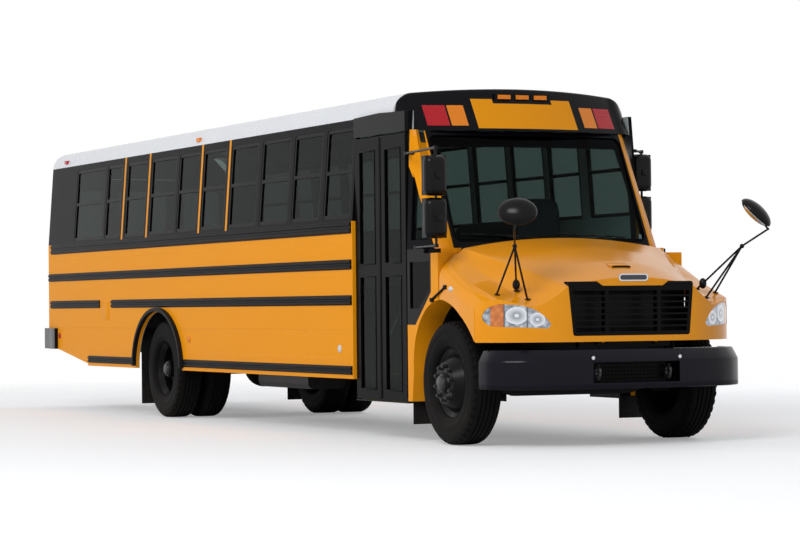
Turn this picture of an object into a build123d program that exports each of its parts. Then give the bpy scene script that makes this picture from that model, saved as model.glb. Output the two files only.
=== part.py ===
from build123d import *
import os
from math import atan2, cos, degrees, pi, radians, sin, sqrt, tan

# School bus with a tilting hood, in millimetres.
# X points forward, Y to the driver's side, Z up; the ground is z = 0.
# The origin lies under the middle of the whole bus.
# Lengths along the bus are written from the front axle and placed by fx().

# Running gear
axle_x = 4923.0           # front axle ahead of the origin
wheelbase = 7087.0
tyre_r = 522.0
tyre_w = 276.0
rim_r = 286.0
dual_gap = 330.0          # centre to centre of twin tyres
track_half = 1032.0       # middle of the outer tyre
kingpin_y = 880.0
pin_r = 22.0
spindle_r = 40.0
fit = 0.05                # radial clearance of running fits
seat_gap = 0.3            # clearance of glass, sashes and other set-in pieces

# Body
half_w = 1219.0
lean_z = 1930.0           # side walls lean in above this height
eave_half = 1150.0
eave_z = 2867.0
roof_z = 3090.0
wall = 40.0
skirt_z = 520.0
floor_z = 1000.0
floor_t = 36.0
body_rear = -11030.0
side_front = -740.0 
door_rear = -1850.0
driver_front = -920.0     # the same on the driver's side
door_front = -745.0
door_top = 2690.0
header_y = 1196.0         # outside of the header box over the entrance
header_t = 40.0
header_in = header_t + 0.3 - header_y
front_arch_top = 1220.0
arch_sheet = 12.0         # sheet of the front wheel houses
arch_rx = 740.0
arch_rz = 600.0
arch_z = 545.0
sill_z = 1975.0
head_z = 2800.0

os.makedirs("parts", exist_ok=True)


def fx(x):
    return axle_x + x


def keep(builder, name):
    builder.part.label = name
    export_step(builder.part, "parts/" + name + ".step")


def outline(points):
    """A closed outline of straight lines, made into a face."""
    with BuildLine() as edge:
        Polyline(*points, close=True)
    make_face(edge.line)


def bar(x0, x1, y0, y1, z0, z1, mode=Mode.ADD):
    """A box between two corners."""
    with Locations(((x0 + x1) / 2, (y0 + y1) / 2, (z0 + z1) / 2)):
        Box(abs(x1 - x0), abs(y1 - y0), abs(z1 - z0), mode=mode)


def arch_face(grow, rear_only=False):
    """The front wheel arch seen from the side, made larger by grow."""
    low = 300.0
    with BuildLine() as edge:
        Line((fx(-665 - grow), low), (fx(-620 - grow), 610))
        ThreePointArc((fx(-620 - grow), 610), (fx(-440 - 0.7 * grow), 1088 + 0.7 * grow),
                      (fx(-34), front_arch_top + grow))
        ThreePointArc((fx(-34), front_arch_top + grow), (fx(330 + 0.6 * grow), 1100 + 0.8 * grow),
                      (fx(655 + grow), 790))
        Line((fx(655 + grow), 790), (fx(655 + grow), low))
        Line((fx(655 + grow), low), (fx(-665 - grow), low))
    make_face(edge.line)
    if rear_only:
        with Locations((fx(-120) + 1000, 900)):
            Rectangle(2000, 2000, mode=Mode.SUBTRACT)


def rod(a, b, r, mode=Mode.ADD):
    """A round bar from a to b."""
    run = Vector(*b) - Vector(*a)
    with BuildSketch(Plane(origin=a, z_dir=run)) as end:
        Circle(r)
    extrude(end.sketch, amount=run.length, mode=mode)


lean = atan2(half_w - eave_half, eave_z - lean_z)
# The leaning part of the kerb side wall; its local y runs up the wall.
kerb_plane = Plane(origin=(0, -half_w, lean_z), x_dir=(1, 0, 0), z_dir=(0, -cos(lean), sin(lean)))


def up(z):
    """Distance up the leaning wall of a height z."""
    return (z - lean_z) / cos(lean)


def wall_y(z):
    """Half width of the outside of the body at height z."""
    return half_w - max(0.0, z - lean_z) * tan(lean)


# Windows of the kerb side, rear to front, with x0 and x1 from the front axle.
kerb_windows = (
    (-10040, -8985), (-8915, -8375), (-8225, -7540), (-7410, -6600), (-6520, -5895),
    (-5790, -5105), (-4985, -4235), (-4145, -3405), (-3315, -2620), (-2530, -1905),
)
driver_windows = kerb_windows + ((-1760, -1000),)
rear_blank = (-10950, -10100)

# Side walls
def side_wall(windows, door, front):
    """The kerb side wall; the driver's wall is its mirror image with no entrance."""
    with BuildPart() as made:
        with BuildSketch(Plane.YZ.offset(fx(body_rear))):
            outline((
                (-half_w, skirt_z), (-half_w, lean_z), (-eave_half, eave_z),
                (wall - eave_half, eave_z), (wall - half_w, lean_z), (wall - half_w, skirt_z),
            ))
        extrude(amount=front - body_rear)
        with BuildSketch(Plane.XZ.offset(half_w + wall)):
            with Locations((fx(-wheelbase), arch_z)):
                Ellipse(arch_rx, arch_rz)
            outline((
                (fx(-9530), skirt_z - 5), (fx(-9530), 544), (fx(-10650), 700),
                (fx(body_rear) - 5, 700), (fx(body_rear) - 5, skirt_z - 5),
            ))
        extrude(amount=-4 * wall, mode=Mode.SUBTRACT)
        for x0, x1 in windows:
            with BuildSketch(kerb_plane.offset(wall)):
                with Locations((fx((x0 + x1) / 2), (up(sill_z) + up(head_z)) / 2)):
                    RectangleRounded(x1 - x0, up(head_z) - up(sill_z), 40)
            extrude(amount=-3 * wall, mode=Mode.SUBTRACT)
        if door:
            bar(fx(door_rear), fx(side_front) + 1, -half_w - wall, -half_w + 4 * wall,
                0, door_top, Mode.SUBTRACT)
            bar(fx(door_rear), fx(side_front) + 1, -half_w - wall, header_in, door_top - 1,
                eave_z + 1, Mode.SUBTRACT)
            bar(fx(door_rear), fx(side_front), header_in, -eave_half + wall, door_top, eave_z)
    return made


body_side_right = side_wall(kerb_windows, True, side_front)
keep(body_side_right, "body_side_right")
plain_side = side_wall(driver_windows, False, driver_front)
stop_x = -1910.0
stop_z = 1720.0
stop_y = half_w + 34
with BuildPart() as body_side_left:
    add(plain_side.part)
    mirror(about=Plane.XZ, mode=Mode.REPLACE)
    # Base plate and ears of the stop arm's hinge
    bar(fx(stop_x) - 24, fx(stop_x) + 24, half_w - 1, half_w + 12, stop_z - 60, stop_z + 60)
    for z in (stop_z - 60, stop_z + 42):
        bar(fx(stop_x) - 14, fx(stop_x) + 14, half_w - 1, stop_y + 14, z, z + 18)
keep(body_side_left, "body_side_left")

# Window sashes: a ring with a meeting rail in each opening, and two panes in it
sash_w = 34.0
sash_t = 30.0
rail_z = 2400.0
glass_t = 6.0


def side_sashes(windows, panes):
    """Black sashes of one side, or the panes that they hold."""
    with BuildPart() as made:
        for x0, x1 in windows:
            low = up(sill_z) + seat_gap
            high = up(head_z) - seat_gap
            mid = up(rail_z)
            place = (fx((x0 + x1) / 2), (low + high) / 2)
            width = x1 - x0 - 2 * seat_gap
            inner_w = width - 2 * sash_w
            spans = ((low + sash_w, mid - sash_w / 2), (mid + sash_w / 2, high - sash_w))
            if panes:
                with BuildSketch(kerb_plane.offset(-sash_t / 2)):
                    for a, b in spans:
                        with Locations((place[0], (a + b) / 2)):
                            Rectangle(inner_w - 2 * seat_gap, b - a - 2 * seat_gap)
                extrude(amount=-glass_t)
            else:
                with BuildSketch(kerb_plane.offset(-3)):
                    with Locations(place):
                        RectangleRounded(width, high - low, 40 - seat_gap)
                    for a, b in spans:
                        with Locations((place[0], (a + b) / 2)):
                            Rectangle(inner_w, b - a, mode=Mode.SUBTRACT)
                extrude(amount=-sash_t)
    return made


rear_panes = ((-760.0, 2300.0), (760.0, 2300.0))
for panes, name in ((False, "window_sashes"), (True, "side_glass")):
    kerb = side_sashes(kerb_windows, panes)
    driver = side_sashes(driver_windows, panes)
    with BuildPart() as pair:
        add(driver.part)
        mirror(about=Plane.XZ, mode=Mode.REPLACE)
        add(kerb.part)
        if panes:
            with BuildSketch(Plane.YZ.offset(fx(body_rear) - wall + 12)):
                with Locations(*rear_panes):
                    RectangleRounded(480 - 2 * seat_gap, 620 - 2 * seat_gap, 40 - seat_gap)
            extrude(amount=glass_t)
    keep(pair, name)

# Roof: one curved skin from eave to eave, with two hatch openings
corner_r = 200.0
roof_t = 32.0
hatch_half = 300.0
hatches = (("roof_hatch_rear", -9120.0),)
roof_front = -1085.0


def roof_outline(inset):
    """The roof's section, set in from the outside by inset, closed along the eaves."""
    turn = radians(74)
    along = (-sin(lean), cos(lean))
    start = (eave_half - inset, eave_z)
    r = corner_r - inset
    # The corner arc turns in from the wall's own lean.
    centre = (start[0] - r * along[1], start[1] + r * along[0])
    a0 = atan2(start[1] - centre[1], start[0] - centre[0])
    mid = (centre[0] + r * cos(a0 + turn / 2), centre[1] + r * sin(a0 + turn / 2))
    end = (centre[0] + r * cos(a0 + turn), centre[1] + r * sin(a0 + turn))
    with BuildLine() as edge:
        Line((-start[0], start[1]), start)
        ThreePointArc(start, mid, end)
        ThreePointArc(end, (0, roof_z - inset), (-end[0], end[1]))
        ThreePointArc((-end[0], end[1]), (-mid[0], mid[1]), (-start[0], start[1]))
    make_face(edge.line)


with BuildPart() as roof:
    with BuildSketch(Plane.YZ.offset(fx(body_rear))):
        roof_outline(0)
    extrude(amount=roof_front - body_rear)
    with BuildSketch(Plane.YZ.offset(fx(body_rear) - 1)):
        roof_outline(roof_t)
    extrude(amount=roof_front - body_rear + 2, mode=Mode.SUBTRACT)
    with BuildSketch(Plane.XY.offset(roof_z + 50)):
        for name, x in hatches:
            with Locations((fx(x), 0)):
                Rectangle(2 * hatch_half, 2 * hatch_half)
    extrude(amount=-200, mode=Mode.SUBTRACT)
    # Roof bows below the skin, one beside each window post
    for x in (-10500, -9500, -8300, -7480, -6560, -5845, -5045, -4190, -2575, -1880):
        with BuildSketch(Plane.YZ.offset(fx(x) - 20)):
            roof_outline(roof_t)
        bow = extrude(amount=40)
        with BuildSketch(Plane.YZ.offset(fx(x) - 21)):
            roof_outline(roof_t + 30)
        extrude(amount=42, mode=Mode.SUBTRACT)
keep(roof, "roof")

# Roof hatch lids: shallow square lids on a raised curb, hinged at their front edge
for name, x in hatches:
    with BuildPart() as lid:
        with BuildSketch(Plane.XY.offset(roof_z + seat_gap)):
            with Locations((fx(x), 0)):
                RectangleRounded(2 * hatch_half + 90, 2 * hatch_half + 90, 40)
        extrude(amount=52, taper=14)
        bar(fx(x) - hatch_half + 6, fx(x) + hatch_half - 6, 6 - hatch_half, hatch_half - 6,
            roof_z - 30, roof_z + 8)
        bar(fx(x) - hatch_half + 40, fx(x) + hatch_half - 40, 40 - hatch_half, hatch_half - 40,
            roof_z - 31, roof_z + 30, Mode.SUBTRACT)
    keep(lid, name)

# Floor with step well and rear wheel houses
well_x0 = door_rear + 40
well_x1 = door_front - 40
end_x0 = well_x0 - 20
end_x1 = well_x1 + 20
floor_low = floor_z - floor_t
house_x0 = -wheelbase - 640
house_x1 = -wheelbase + 640
house_in = 520.0
side_in = half_w - wall
sheet = 20.0
# x0, x1, y0, y1, z0, z1 of each plate
panels = [
    (body_rear, house_x0, -side_in, side_in, floor_low, floor_z),
    (house_x0, house_x1, -house_in, house_in, floor_low, floor_z),
    (house_x1, door_rear, -side_in, side_in, floor_low, floor_z),
    (door_rear, end_x0, -1148, side_in, floor_low, floor_z),
    (end_x0, driver_front, -503, side_in, floor_low, floor_z),
    (driver_front, side_front, -503, 1148, floor_low, floor_z),
    (end_x1, side_front, -1148, -503, floor_low, floor_z),
    (door_rear, side_front, -1192, -1148, 330, 340),
    (end_x0, well_x0, -1148, -483, 330, floor_low),
    (well_x1, end_x1, -1148, -483, 330, floor_low),
]
# Three treads and their risers
steps = ((330.0, -1148.0), (553.0, -933.0), (776.0, -718.0))
for z, y in steps:
    panels.append((well_x0, well_x1, y, y + 235, z, z + sheet))
    panels.append((well_x0, well_x1, y + 215, y + 235, z + sheet, min(z + 223, floor_low)))
# Wheel houses: top, inner side and two ends
for side in (-1, 1):
    for x0, x1, y0, y1, z0, z1 in (
        (house_x0, house_x1, house_in, side_in, 1130, 1150),
        (house_x0, house_x1, house_in, house_in + sheet, floor_z, 1130),
        (house_x0, house_x0 + sheet, house_in + sheet, side_in, floor_low, 1130),
        (house_x1 - sheet, house_x1, house_in + sheet, side_in, floor_low, 1130),
    ):
        panels.append((x0, x1, side * y0, side * y1, z0, z1))
with BuildPart() as floor:
    g = seat_gap / 2
    for x0, x1, y0, y1, z0, z1 in panels:
        bar(fx(x0) + g, fx(x1) - g, min(y0, y1) + g, max(y0, y1) - g, z0 + g, z1 - g)
keep(floor, "floor")

# Rear wall, with a doorway and two windows beside it and two above the lamps
rear_door_half = 420.0
rear_door_low = 1010.0
rear_door_high = 2760.0
rear_hinge_x = body_rear - wall - 12 - seat_gap
with BuildPart() as rear_wall:
    with BuildSketch(Plane.YZ.offset(fx(body_rear) - wall)):
        outline((
            (-half_w + 70, 700), (-half_w + 70, lean_z), (-eave_half + 70, eave_z),
            (-900, roof_z - 40), (900, roof_z - 40),
            (eave_half - 70, eave_z), (half_w - 70, lean_z), (half_w - 70, 700),
        ))
        with Locations((0, (rear_door_low + rear_door_high) / 2)):
            Rectangle(2 * rear_door_half, rear_door_high - rear_door_low, mode=Mode.SUBTRACT)
        with Locations(*rear_panes):
            RectangleRounded(480, 620, 40, mode=Mode.SUBTRACT)
    extrude(amount=wall)
keep(rear_wall, "rear_wall")

with BuildPart() as rear_door:
    with BuildSketch(Plane.YZ.offset(fx(body_rear) - wall - 6)):
        with Locations((0, (rear_door_low + rear_door_high) / 2)):
            Rectangle(2 * rear_door_half - 12, rear_door_high - rear_door_low - 12)
        with Locations((0, 2300)):
            RectangleRounded(620, 620, 40, mode=Mode.SUBTRACT)
        with Locations((0, 1480)):
            RectangleRounded(620, 420, 40, mode=Mode.SUBTRACT)
    extrude(amount=wall)
    for z in (1150, 1850, 2550):
        rod((fx(rear_hinge_x), -rear_door_half, z), (fx(rear_hinge_x), -rear_door_half, z + 120), 12)
        bar(fx(rear_hinge_x) - 6, fx(body_rear) - wall, -rear_door_half, 130 - rear_door_half,
            z + 30, z + 90)
keep(rear_door, "rear_door")

with BuildPart() as rear_door_glass:
    with BuildSketch(Plane.YZ.offset(fx(body_rear) - wall + 12)):
        with Locations((0, 2300)):
            RectangleRounded(620 - 2 * seat_gap, 620 - 2 * seat_gap, 40 - seat_gap)
        with Locations((0, 1480)):
            RectangleRounded(620 - 2 * seat_gap, 420 - 2 * seat_gap, 40 - seat_gap)
    extrude(amount=glass_t)
keep(rear_door_glass, "rear_door_glass")

# Cab front: scuttle, lower cab sides, and the frame round windshield and quarter glass
frame_t = 45.0
cab_half = 1188.0
house_y = 552.0           # inner side of the front wheel houses
# Corners of the fixed pane ahead of each door post, seen from the side
low_pane = ((fx(-685), 1150), (fx(-500), 1150), (fx(-290), 1310), (fx(-290), 1550), (fx(-685), 1550))
base_z = 1660.0
crown_z = 2700.0
# Plan corners of the frame, x and y: kerb door post, pillar, glass, then the driver's side
base_plan = ((side_front, -1188), (-361, -1100), (-275, -978), (-275, 978), (-361, 1075), (driver_front, 1188))
crown_plan = ((side_front, -1150), (-715, -1102), (-835, -978), (-835, 978), (-908, 1041), (driver_front, 1150))
base_nose = -195.0
crown_nose = -735.0
post_y = eave_half - wall - 6


def plan_face(corners, nose, inset, hollow):
    """Plan of the cab front, set in by inset; a hollow one runs on to the rear."""
    row = [(fx(x) - inset * 0.8, y - inset if y > 0 else y + inset) for x, y in corners]
    kerb, driver = row[0], row[-1]
    if hollow:
        tail = [(kerb[0] - 700, kerb[1]), (driver[0] - 700, driver[1])]
    else:
        tail = [(kerb[0] - 160, 44 - post_y), (kerb[0], -post_y),
                (driver[0], post_y), (driver[0] - 160, post_y - 64)]
    half = len(tail) // 2
    with BuildLine() as edge:
        Polyline(*tail[:half], *row[:3])
        ThreePointArc(row[2], (fx(nose) - inset, 0), row[3])
        Polyline(*row[3:], *tail[half:], tail[0])
    make_face(edge.line)


def cab_shell(inset, hollow):
    """The volume inside the slanted cab front, set in by inset."""
    grow = 1 if hollow else 0
    with BuildPart() as made:
        with BuildSketch(Plane.XY.offset(base_z - grow)):
            plan_face(base_plan, base_nose, inset, hollow)
        with BuildSketch(Plane.XY.offset(crown_z + grow)):
            plan_face(crown_plan, crown_nose, inset, hollow)
        loft(ruled=True)
    return made.part


def cab_y(x, z, side):
    """Half width of the cab front between its post and its pillar."""
    t = (z - base_z) / (crown_z - base_z)
    at = (0, 1) if side < 0 else (5, 4)
    (xa, ya), (xb, yb) = [
        [base_plan[i][k] + t * (crown_plan[i][k] - base_plan[i][k]) for k in (0, 1)] for i in at
    ]
    return abs(ya + (yb - ya) * (x - xa) / (xb - xa))


def windshield_prism(inset):
    """The windshield's opening, seen along the bus."""
    with BuildPart() as made:
        with BuildSketch(Plane.YZ.offset(fx(-1300))):
            with BuildLine():
                FilletPolyline(
                    (-935 + inset, 1715 + inset), (935 - inset, 1715 + inset),
                    (950 - inset, 2660 - inset), (-950 + inset, 2660 - inset),
                    radius=70, close=True,
                )
            make_face()
        extrude(amount=1400)
    return made.part


def quarter_prism(inset):
    """The quarter glass openings, seen from the side."""
    with BuildPart() as made:
        for side, rear, top in ((-1, -690, 2330), (1, -880, 2560)):
            with BuildSketch(Plane.XZ.offset(-side * 900)):
                outline((
                    (fx(rear) + inset, 1740 + inset), (fx(-450) - 2 * inset, 1740 + inset),
                    (fx(rear) + inset, top - 3 * inset),
                ))
            extrude(amount=-side * 400)
    return made.part


cab_outside = cab_shell(0, False)
cab_inside = cab_shell(frame_t, True)
glass_outside = cab_shell(16, False)
glass_inside = cab_shell(24, True)

with BuildPart() as cab_front:
    add(cab_outside)
    add(cab_inside, mode=Mode.SUBTRACT)
    add(windshield_prism(0), mode=Mode.SUBTRACT)
    add(quarter_prism(0), mode=Mode.SUBTRACT)
    # Scuttle panel under the windshield
    with BuildSketch(Plane.XY.offset(base_z - 40)):
        with BuildLine():
            Polyline((fx(-480), 1165), (fx(-360), 1150), (fx(-130), 1010))
            ThreePointArc((fx(-130), 1010), (fx(-105), 0), (fx(-130), -1010))
            Polyline((fx(-130), -1010), (fx(-360), -1150), (fx(-480), -1165), (fx(-480), 1165))
        make_face()
    extrude(amount=40)
    # Lower sides with a fixed pane each, and the fire wall across the front
    for side, rear in ((-1, side_front), (1, driver_front)):
        bar(fx(rear), fx(-120), side * (cab_half - wall), side * cab_half, floor_z - floor_t, base_z - 40)
        bar(fx(rear), fx(-560), side * (cab_half - wall), side * cab_half, 350, floor_z - floor_t)
        bar(fx(rear), fx(-400), side * (cab_half - wall), side * cab_half, base_z - 41, base_z)
    with BuildSketch(Plane.XZ.offset(1300)):
        outline(low_pane)
    extrude(amount=-2600, mode=Mode.SUBTRACT)
    bar(fx(-160), fx(-120), -cab_half + wall, cab_half - wall, floor_z - 36, base_z - 40)
    bar(fx(side_front), fx(-120), -cab_half + wall, cab_half - wall, floor_z - floor_t, floor_z)
    # Wheel arches: cut clear, then closed by a round liner and a side plate
    for side in (-1, 1):
        with BuildSketch(Plane.XZ.offset(-side * house_y)):
            arch_face(0)
        extrude(amount=-side * 700, mode=Mode.SUBTRACT)
        with BuildSketch(Plane.XZ.offset(-side * house_y)):
            arch_face(arch_sheet, True)
            with Locations((fx(0), floor_z - floor_t - 1000)):
                Rectangle(2000, 2000, mode=Mode.SUBTRACT)
        extrude(amount=-side * arch_sheet)
        with BuildSketch(Plane.XZ.offset(-side * house_y)):
            arch_face(arch_sheet, True)
            with Locations((fx(0), 350 - 1000)):
                Rectangle(2000, 2000, mode=Mode.SUBTRACT)
        extrude(amount=-side * (cab_half - house_y))
        with BuildSketch(Plane.XZ.offset(-side * (house_y + arch_sheet))):
            arch_face(0)
        extrude(amount=-side * 700, mode=Mode.SUBTRACT)
keep(cab_front, "cab_front")

with BuildPart() as cab_glass:
    add(windshield_prism(seat_gap))
    add(quarter_prism(seat_gap))
    add(glass_outside, mode=Mode.INTERSECT)
    add(glass_inside, mode=Mode.SUBTRACT)
    for side in (-1, 1):
        with BuildSketch(Plane.XZ.offset(-side * (cab_half - 20))):
            outline(low_pane)
            offset(amount=-seat_gap, mode=Mode.REPLACE)
        extrude(amount=glass_t)
keep(cab_glass, "cab_glass")

# Front cap: the dark shell over the windshield, with a recess for each pair of warning lamps,
# the pod of the clearance lamps and the header box over the entrance
cap_low = 2702.0
cap_slope = 0.647         # its face falls back by this much for each unit of height
cap_nose = -660.0
cap_side = 1104.0
cap_round = 40.0
pocket_depth = 10.0
# y of each lamp's inner and outer side, on both sides of the sign
cap_lamps = ((576.0, 722.0), (738.0, 930.0))
lamp_low = 2745.0
lamp_high = 2932.0
pod_half = 270.0


def cap_plan(back):
    """Plan of the cap, its face set back."""
    with BuildLine() as edge:
        Line((fx(roof_front), -1160), (fx(roof_front), 1160))
        Line((fx(roof_front), 1160), (fx(-925 - back), 1120))
        ThreePointArc((fx(-925 - back), 1120), (fx(-868 - back), 1080), (fx(-833 - back), 985))
        ThreePointArc((fx(-833 - back), 985), (fx(cap_nose - back), 0), (fx(-833 - back), -985))
        ThreePointArc((fx(-833 - back), -985), (fx(-868 - back), -1080), (fx(-925 - back), -1120))
        Line((fx(-925 - back), -1120), (fx(roof_front), -1160))
    make_face(edge.line)


def cap_block(inset):
    """The slanted block of the cap, its face set in by inset."""
    top = roof_z + 20
    with BuildPart() as made:
        with BuildSketch(Plane.XY.offset(cap_low)) as low:
            cap_plan(inset)
        extrude(low.sketch, amount=(top - cap_low) * sqrt(1 + cap_slope ** 2), dir=(-cap_slope, 0, 1))
    return made.part


def lamp_windows(inset):
    """Prisms along the bus through the cap's lamps."""
    with BuildPart() as made:
        with BuildSketch(Plane.YZ.offset(fx(roof_front))) as ends:
            for y0, y1 in cap_lamps:
                for side in (-1, 1):
                    with Locations((side * (y0 + y1) / 2, (lamp_low + lamp_high) / 2)):
                        Rectangle(y1 - y0 - 2 * inset, lamp_high - lamp_low - 2 * inset)
        extrude(ends.sketch, amount=700)
    return made.part


def lamp_plates(inset, proud, deep):
    """What fills the cap's lamp recesses, from proud of the face down to deep."""
    with BuildPart() as made:
        add(lamp_windows(inset))
        add(cap_block(-proud), mode=Mode.INTERSECT)
        add(cap_block(deep), mode=Mode.SUBTRACT)
    return made.part


with BuildPart() as front_cap:
    add(cap_block(0))
    bar(fx(roof_front) - 400, fx(roof_front), -half_w, half_w, cap_low - 1, roof_z + 30, Mode.SUBTRACT)
    with BuildSketch(Plane.YZ.offset(fx(roof_front) - 1)):
        roof_outline(0)
        with Locations((0, (cap_low + eave_z) / 2)):
            Rectangle(2 * eave_half, eave_z - cap_low)
    extrude(amount=600, mode=Mode.INTERSECT)
    brow = front_cap.edges().filter_by(lambda e: e.center().Z > 2880 and e.center().X > fx(roof_front) + 5)
    fillet(brow, cap_round)
    add(lamp_plates(0, 20, pocket_depth), mode=Mode.SUBTRACT)
    for side in (-1, 1):
        bar(fx(roof_front) - 1, fx(side_front) + 50, side * cap_side, side * 1300, 2600,
            eave_z + seat_gap, Mode.SUBTRACT)
    bar(fx(-960), fx(-848), -pod_half, pod_half, 2966, 3040)
    # Header box over the entrance
    with BuildSketch(Plane.XZ.offset(header_y - header_t)):
        outline(((fx(door_rear) + seat_gap, door_top + seat_gap), (fx(door_front), door_top + seat_gap),
                 (fx(door_front), 2862), (fx(-1300), 2880), (fx(door_rear) + seat_gap, 2866)))
    extrude(amount=header_t)
keep(front_cap, "front_cap")

# Entrance door: two leaves that open outward, hinged at their outer edges
leaf_t = 35.0
leaf_mid = (door_rear + door_front) / 2
leaf_low = 347.0
leaf_high = 2676.0
leaf_y = 1190.0
leaf_gap = 12.0
leaf_pin_r = 8.0
leaf_pin_in = 9.0         # from the leaf's outer edge to its hinge line
leaves = (
    ("door_leaf_rear", "door_glass_rear", door_rear + leaf_gap, leaf_mid - leaf_gap / 2,
     door_rear + leaf_gap + leaf_pin_in),
    ("door_leaf_front", "door_glass_front", leaf_mid + leaf_gap / 2, door_front - leaf_gap,
     door_front - leaf_gap - leaf_pin_in),
)
for frame_name, glass_name, x0, x1, pin_x in leaves:
    # Panes of a leaf: low and high edge
    panes = ((440.0, 1430.0), (1555.0, 2550.0))
    with BuildPart() as leaf:
        bar(fx(x0), fx(x1), -leaf_y, -leaf_y + leaf_t, leaf_low, leaf_high)
        for z0, z1 in panes:
            bar(fx(x0) + 110, fx(x1) - 110, -leaf_y - 1, -leaf_y + leaf_t + 1, z0, z1, Mode.SUBTRACT)
        rod((fx(pin_x), leaf_t / 2 - leaf_y, 340 + seat_gap),
            (fx(pin_x), leaf_t / 2 - leaf_y, door_top - seat_gap), leaf_pin_r)
        for z0, z1 in panes:
            bar(fx(x0) + 110, fx(x1) - 110, -leaf_y - 1, -leaf_y + leaf_t + 1, z0, z1, Mode.SUBTRACT)
    keep(leaf, frame_name)
    with BuildPart() as pane:
        g = seat_gap
        for z0, z1 in panes:
            bar(fx(x0) + 110 + g, fx(x1) - 110 - g, -leaf_y + 12, -leaf_y + 18, z0 + g, z1 - g)
    keep(pane, glass_name)

# Hood: one shell with both fenders, from the scuttle to the nose
hood_pin_x = 1035.0
hood_pin_z = 878.0
hood_pin_y = 250.0
hood_pin_r = 12.0
hood_rear = -95.0
hood_low = 866.0
hood_t = 22.0
# x, then y and z of each corner: side's top, fender's crest, valley, bonnet's edge; and the middle's z
hood_sections = (
    (-95.0, 1188.0, 1385.0, 1125.0, 1530.0, 1040.0, 1600.0, 960.0, 1655.0, 1745.0),
    (350.0, 1212.0, 1215.0, 1110.0, 1350.0, 930.0, 1395.0, 790.0, 1525.0, 1655.0),
    (800.0, 1200.0, 1070.0, 1075.0, 1215.0, 860.0, 1232.0, 640.0, 1395.0, 1520.0),
    (1130.0, 1175.0, 940.0, 1035.0, 1085.0, 800.0, 1110.0, 590.0, 1300.0, 1385.0),
)
hood_bulge = 14.0


def hood_face(row, inset, low):
    """One cross section of the hood."""
    x, ys, zs, yf, zf, yv, zv, yc, zc, zt = row
    side = (ys - inset, zs - inset / 2)
    crest = (yf - inset / 2, zf - inset)
    valley = (yv - inset / 2, zv - inset)
    edge_at = (yc - inset / 2, zc - inset)
    round_mid = ((side[0] + crest[0]) / 2 + hood_bulge, (side[1] + crest[1]) / 2 + hood_bulge)
    sag_mid = ((valley[0] + edge_at[0]) / 2 + hood_bulge / 2, (valley[1] + edge_at[1]) / 2 - hood_bulge)
    with BuildLine() as edge:
        Line((-side[0], low), (side[0], low))
        Line((side[0], low), side)
        ThreePointArc(side, round_mid, crest)
        Line(crest, valley)
        ThreePointArc(valley, sag_mid, edge_at)
        ThreePointArc(edge_at, (0, zt - inset), (-edge_at[0], edge_at[1]))
        ThreePointArc((-edge_at[0], edge_at[1]), (-sag_mid[0], sag_mid[1]), (-valley[0], valley[1]))
        Line((-valley[0], valley[1]), (-crest[0], crest[1]))
        ThreePointArc((-crest[0], crest[1]), (-round_mid[0], round_mid[1]), (-side[0], side[1]))
        Line((-side[0], side[1]), (-side[0], low))
    make_face(edge.line)


def hood_block(inset, low):
    """The hood as a solid, before its nose is rounded."""
    with BuildPart() as made:
        for row in hood_sections:
            with BuildSketch(Plane.YZ.offset(fx(row[0]))):
                hood_face(row, inset, low)
        loft(ruled=True)
    return made.part


def nose_prism(inset):
    """Plan outline that rounds the nose."""
    with BuildPart() as made:
        with BuildSketch(Plane.XY.offset(300)):
            with BuildLine():
                Line((fx(-300), -1300), (fx(-300), 1300))
                Line((fx(-300), 1300), (fx(520) - inset, 1300))
                Line((fx(520) - inset, 1300), (fx(600) - inset, 1195 - inset))
                ThreePointArc((fx(600) - inset, 1195 - inset), (fx(935) - inset, 920 - inset / 2),
                              (fx(1080) - inset, 600))
                ThreePointArc((fx(1080) - inset, 600), (fx(1115) - inset, 0), (fx(1080) - inset, -600))
                ThreePointArc((fx(1080) - inset, -600), (fx(935) - inset, inset / 2 - 920),
                              (fx(600) - inset, inset - 1195))
                Line((fx(600) - inset, inset - 1195), (fx(520) - inset, -1300))
                Line((fx(520) - inset, -1300), (fx(-300), -1300))
            make_face()
        extrude(amount=1700)
    return made.part


with BuildPart() as hood_solid:
    add(hood_block(0, hood_low))
    add(nose_prism(0), mode=Mode.INTERSECT)
with BuildPart() as hood_hollow:
    add(hood_block(hood_t, hood_low - 5))
    add(nose_prism(hood_t), mode=Mode.INTERSECT)

grille_half = 590.0
grille_low = 914.0
grille_high = 1358.0
grille_notch = 36.0       # drop of its top edge between the two shoulders
grille_bars = 6


def grille_face(inset):
    """The grille's outline seen from the front, set in by inset."""
    low_half = grille_half - 42
    with BuildLine() as edge:
        FilletPolyline(
            (-grille_half, grille_high), (-335, grille_high), (-280, grille_high - grille_notch),
            (280, grille_high - grille_notch), (335, grille_high), (grille_half, grille_high),
            (low_half, grille_low), (-low_half, grille_low), radius=25, close=True,
        )
    make_face(edge.line)
    if inset:
        offset(amount=-inset, mode=Mode.REPLACE)


def lamp_face(side, inset):
    """A headlamp's outline seen from the front, set in by inset."""
    with BuildLine() as edge:
        ThreePointArc((side * 1163, 1088), (side * 1122, 1158), (side * 1020, 1174))
        ThreePointArc((side * 1020, 1174), (side * 850, 1135), (side * 724, 1008))
        Line((side * 724, 1008), (side * 748, 979))
        Line((side * 748, 979), (side * 1103, 996))
        ThreePointArc((side * 1103, 996), (side * 1149, 1028), (side * 1163, 1088))
    make_face(edge.line)
    if inset:
        offset(amount=-inset, mode=Mode.REPLACE)


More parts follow.
